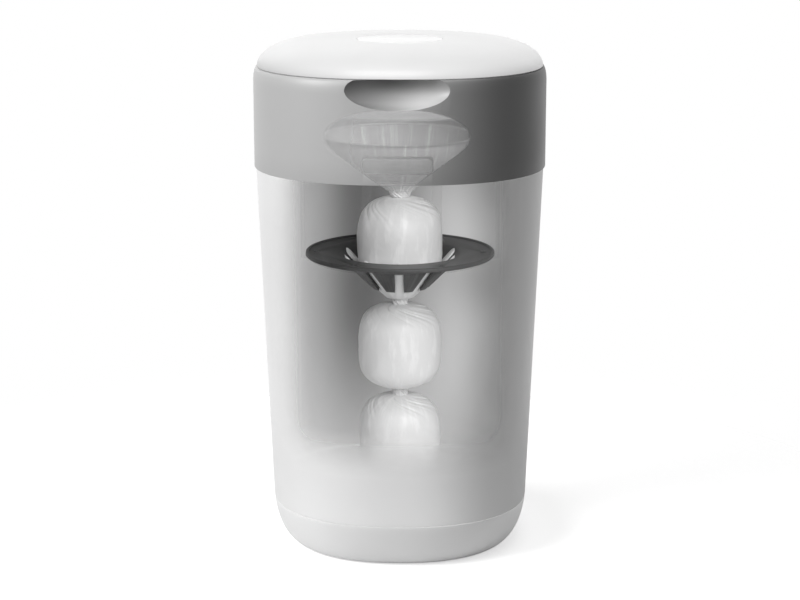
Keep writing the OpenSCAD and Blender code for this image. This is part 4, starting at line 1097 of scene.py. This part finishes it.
# ---------- stage, light and camera ----------

SHOWN_INSIDE = (
    "nappy_in_gripper", "nappy_below_gripper", "nappy_lowest", "film_tail_knotted", "film_funnel_pleated",
    "gripper_dish_finished", "gripper_fingers_finished", "dish_screws_finished", "cassette_tray_finished",
    "cassette_cover_finished", "turning_ring_finished", "film_pack_finished", "click_ring_finished",
    "deck_finished", "top_surround_finished",
)
LID_TOP = ("lid_dome", "lid_inlay_finished")
SHELLS = LID_TOP + ("tub_wall", "base_pan_moulding", "collar_moulding", "collar_hinge_pin_finished",
                    "lid_hinge_pin_finished")
FLOOR_LIFT = 0.55
FLOOR_R = 3000.0


def make_stage():
    """A pale round floor that fades into the white surroundings."""
    count = 96
    points = [(0, 0, 0)] + [(*at_turn(FLOOR_R, a), 0) for a in full_turn(count)]
    faces = [(0, 1 + i, 1 + (i + 1) % count) for i in range(count)]
    floor = new_piece("floor", points, faces)
    material, tree, shader, place = new_material("floor")
    away = add(tree, "ShaderNodeVectorMath", {0: place}, operation="LENGTH").outputs["Value"]
    seen = add(tree, "ShaderNodeLightPath").outputs["Is Camera Ray"]
    set_inputs(tree, shader, {
        "Base Color": PALE,
        "Roughness": 0.8,
        "Specular IOR Level": 0.1,
        "Emission Color": (1, 1, 1, 1),
        "Emission Strength": calc(tree, "MULTIPLY", seen, FLOOR_LIFT),
    })
    fade = ramp(tree, away, 0.2, 0.62)
    clear = add(tree, "ShaderNodeBsdfTransparent").outputs[0]
    mix = add(tree, "ShaderNodeMixShader", {0: fade, 1: shader.outputs[0], 2: clear})
    tree.links.new(mix.outputs[0], tree.nodes["Material Output"].inputs["Surface"])
    floor.data.materials.append(material)


def make_world():
    """Soft surroundings for the light, seen as plain white."""
    world = bpy.data.worlds.new("studio")
    bpy.context.scene.world = world
    world.use_nodes = True
    tree = world.node_tree
    background = tree.nodes["Background"]
    background.inputs["Color"].default_value = (1, 1, 1, 1)
    rays = add(tree, "ShaderNodeLightPath").outputs
    seen = calc(tree, "MAXIMUM", rays["Is Camera Ray"], rays["Is Transmission Ray"])
    seen = calc(tree, "MAXIMUM", seen, rays["Is Glossy Ray"])
    strength = ramp(tree, seen, 0.0, 1.0, 0.24, 1.0, "LINEAR")
    tree.links.new(strength, background.inputs["Strength"])


def lamp(name, place, target, size, power):
    """A square soft lamp that points at a target."""
    data = bpy.data.lights.new(name, "AREA")
    data.size = size
    data.energy = power
    obj = bpy.data.objects.new(name, data)
    obj.location = place
    obj.rotation_euler = (Vector(target) - Vector(place)).to_track_quat("-Z", "Y").to_euler()
    bpy.context.scene.collection.objects.link(obj)
    return obj


def link_group(name, pieces, state):
    """A collection that names pieces for a lamp, all to be included or all to be left out."""
    group = bpy.data.collections.new(name)
    for piece in pieces:
        group.objects.link(bpy.data.objects[piece])
    for entry in group.collection_objects:
        entry.light_linking.link_state = state
    return group


def make_lamps():
    """A soft key from the left for the shells, a front lamp for what shows inside, a lamp for the lid,
    a top lamp, and two rear lamps that keep the back of the shells from going dark."""
    key = lamp("key", (-1.875, -1.08, 1.5), (0, 0, 0.25), 1.2, 45)
    key.light_linking.receiver_collection = link_group("not_by_key", SHOWN_INSIDE + LID_TOP, "EXCLUDE")
    front = lamp("front", (0.75, -1.9, 1.1), (0, 0, 0.25), 1.0, 32)
    front.light_linking.receiver_collection = link_group("by_front", SHOWN_INSIDE, "INCLUDE")
    over_lid = lamp("over_lid", (-0.25, -1.42, 1.7), (0, 0, 0.44), 1.4, 30.5)
    over_lid.light_linking.receiver_collection = link_group("by_over_lid", LID_TOP, "INCLUDE")
    for name, place, power in (("rear_left", (-0.9, 2.1, 1.2), 36), ("rear_right", (1.7, 1.9, 1.1), 26)):
        rear = lamp(name, place, (0, 0, 0.25), 1.5, power)
        rear.visible_glossy = False
        rear.light_linking.receiver_collection = link_group("by_" + name, SHELLS, "INCLUDE")
    top = lamp("top", (0.0, -0.3, 2.0), (0, 0, 0.4), 1.2, 8)
    top.light_linking.receiver_collection = link_group("not_by_top", LID_TOP, "EXCLUDE")
    for light in (front, top):
        light.light_linking.blocker_collection = link_group(light.name + "_passes", LID_TOP, "EXCLUDE")


def make_camera():
    """The camera that sees the bin as the photograph does."""
    data = bpy.data.cameras.new("camera")
    data.sensor_width = 36
    data.lens = LENS
    obj = bpy.data.objects.new("camera", data)
    obj.location = CAMERA_PLACE
    obj.rotation_euler = (math.pi / 2 - CAMERA_TILT, 0, CAMERA_TURN)
    bpy.context.scene.collection.objects.link(obj)
    bpy.context.scene.camera = obj


make_tub()
make_pan()
make_collar()
make_lid()
for row in MOULDED:
    moulded(*row)
press_spring()
make_screws()
make_nappies()
make_funnel()
make_tail()

make_camera()
make_stage()
make_world()
make_lamps()
bpy.context.scene.view_settings.view_transform = "Standard"
bpy.context.scene.cycles.transparent_max_bounces = 32
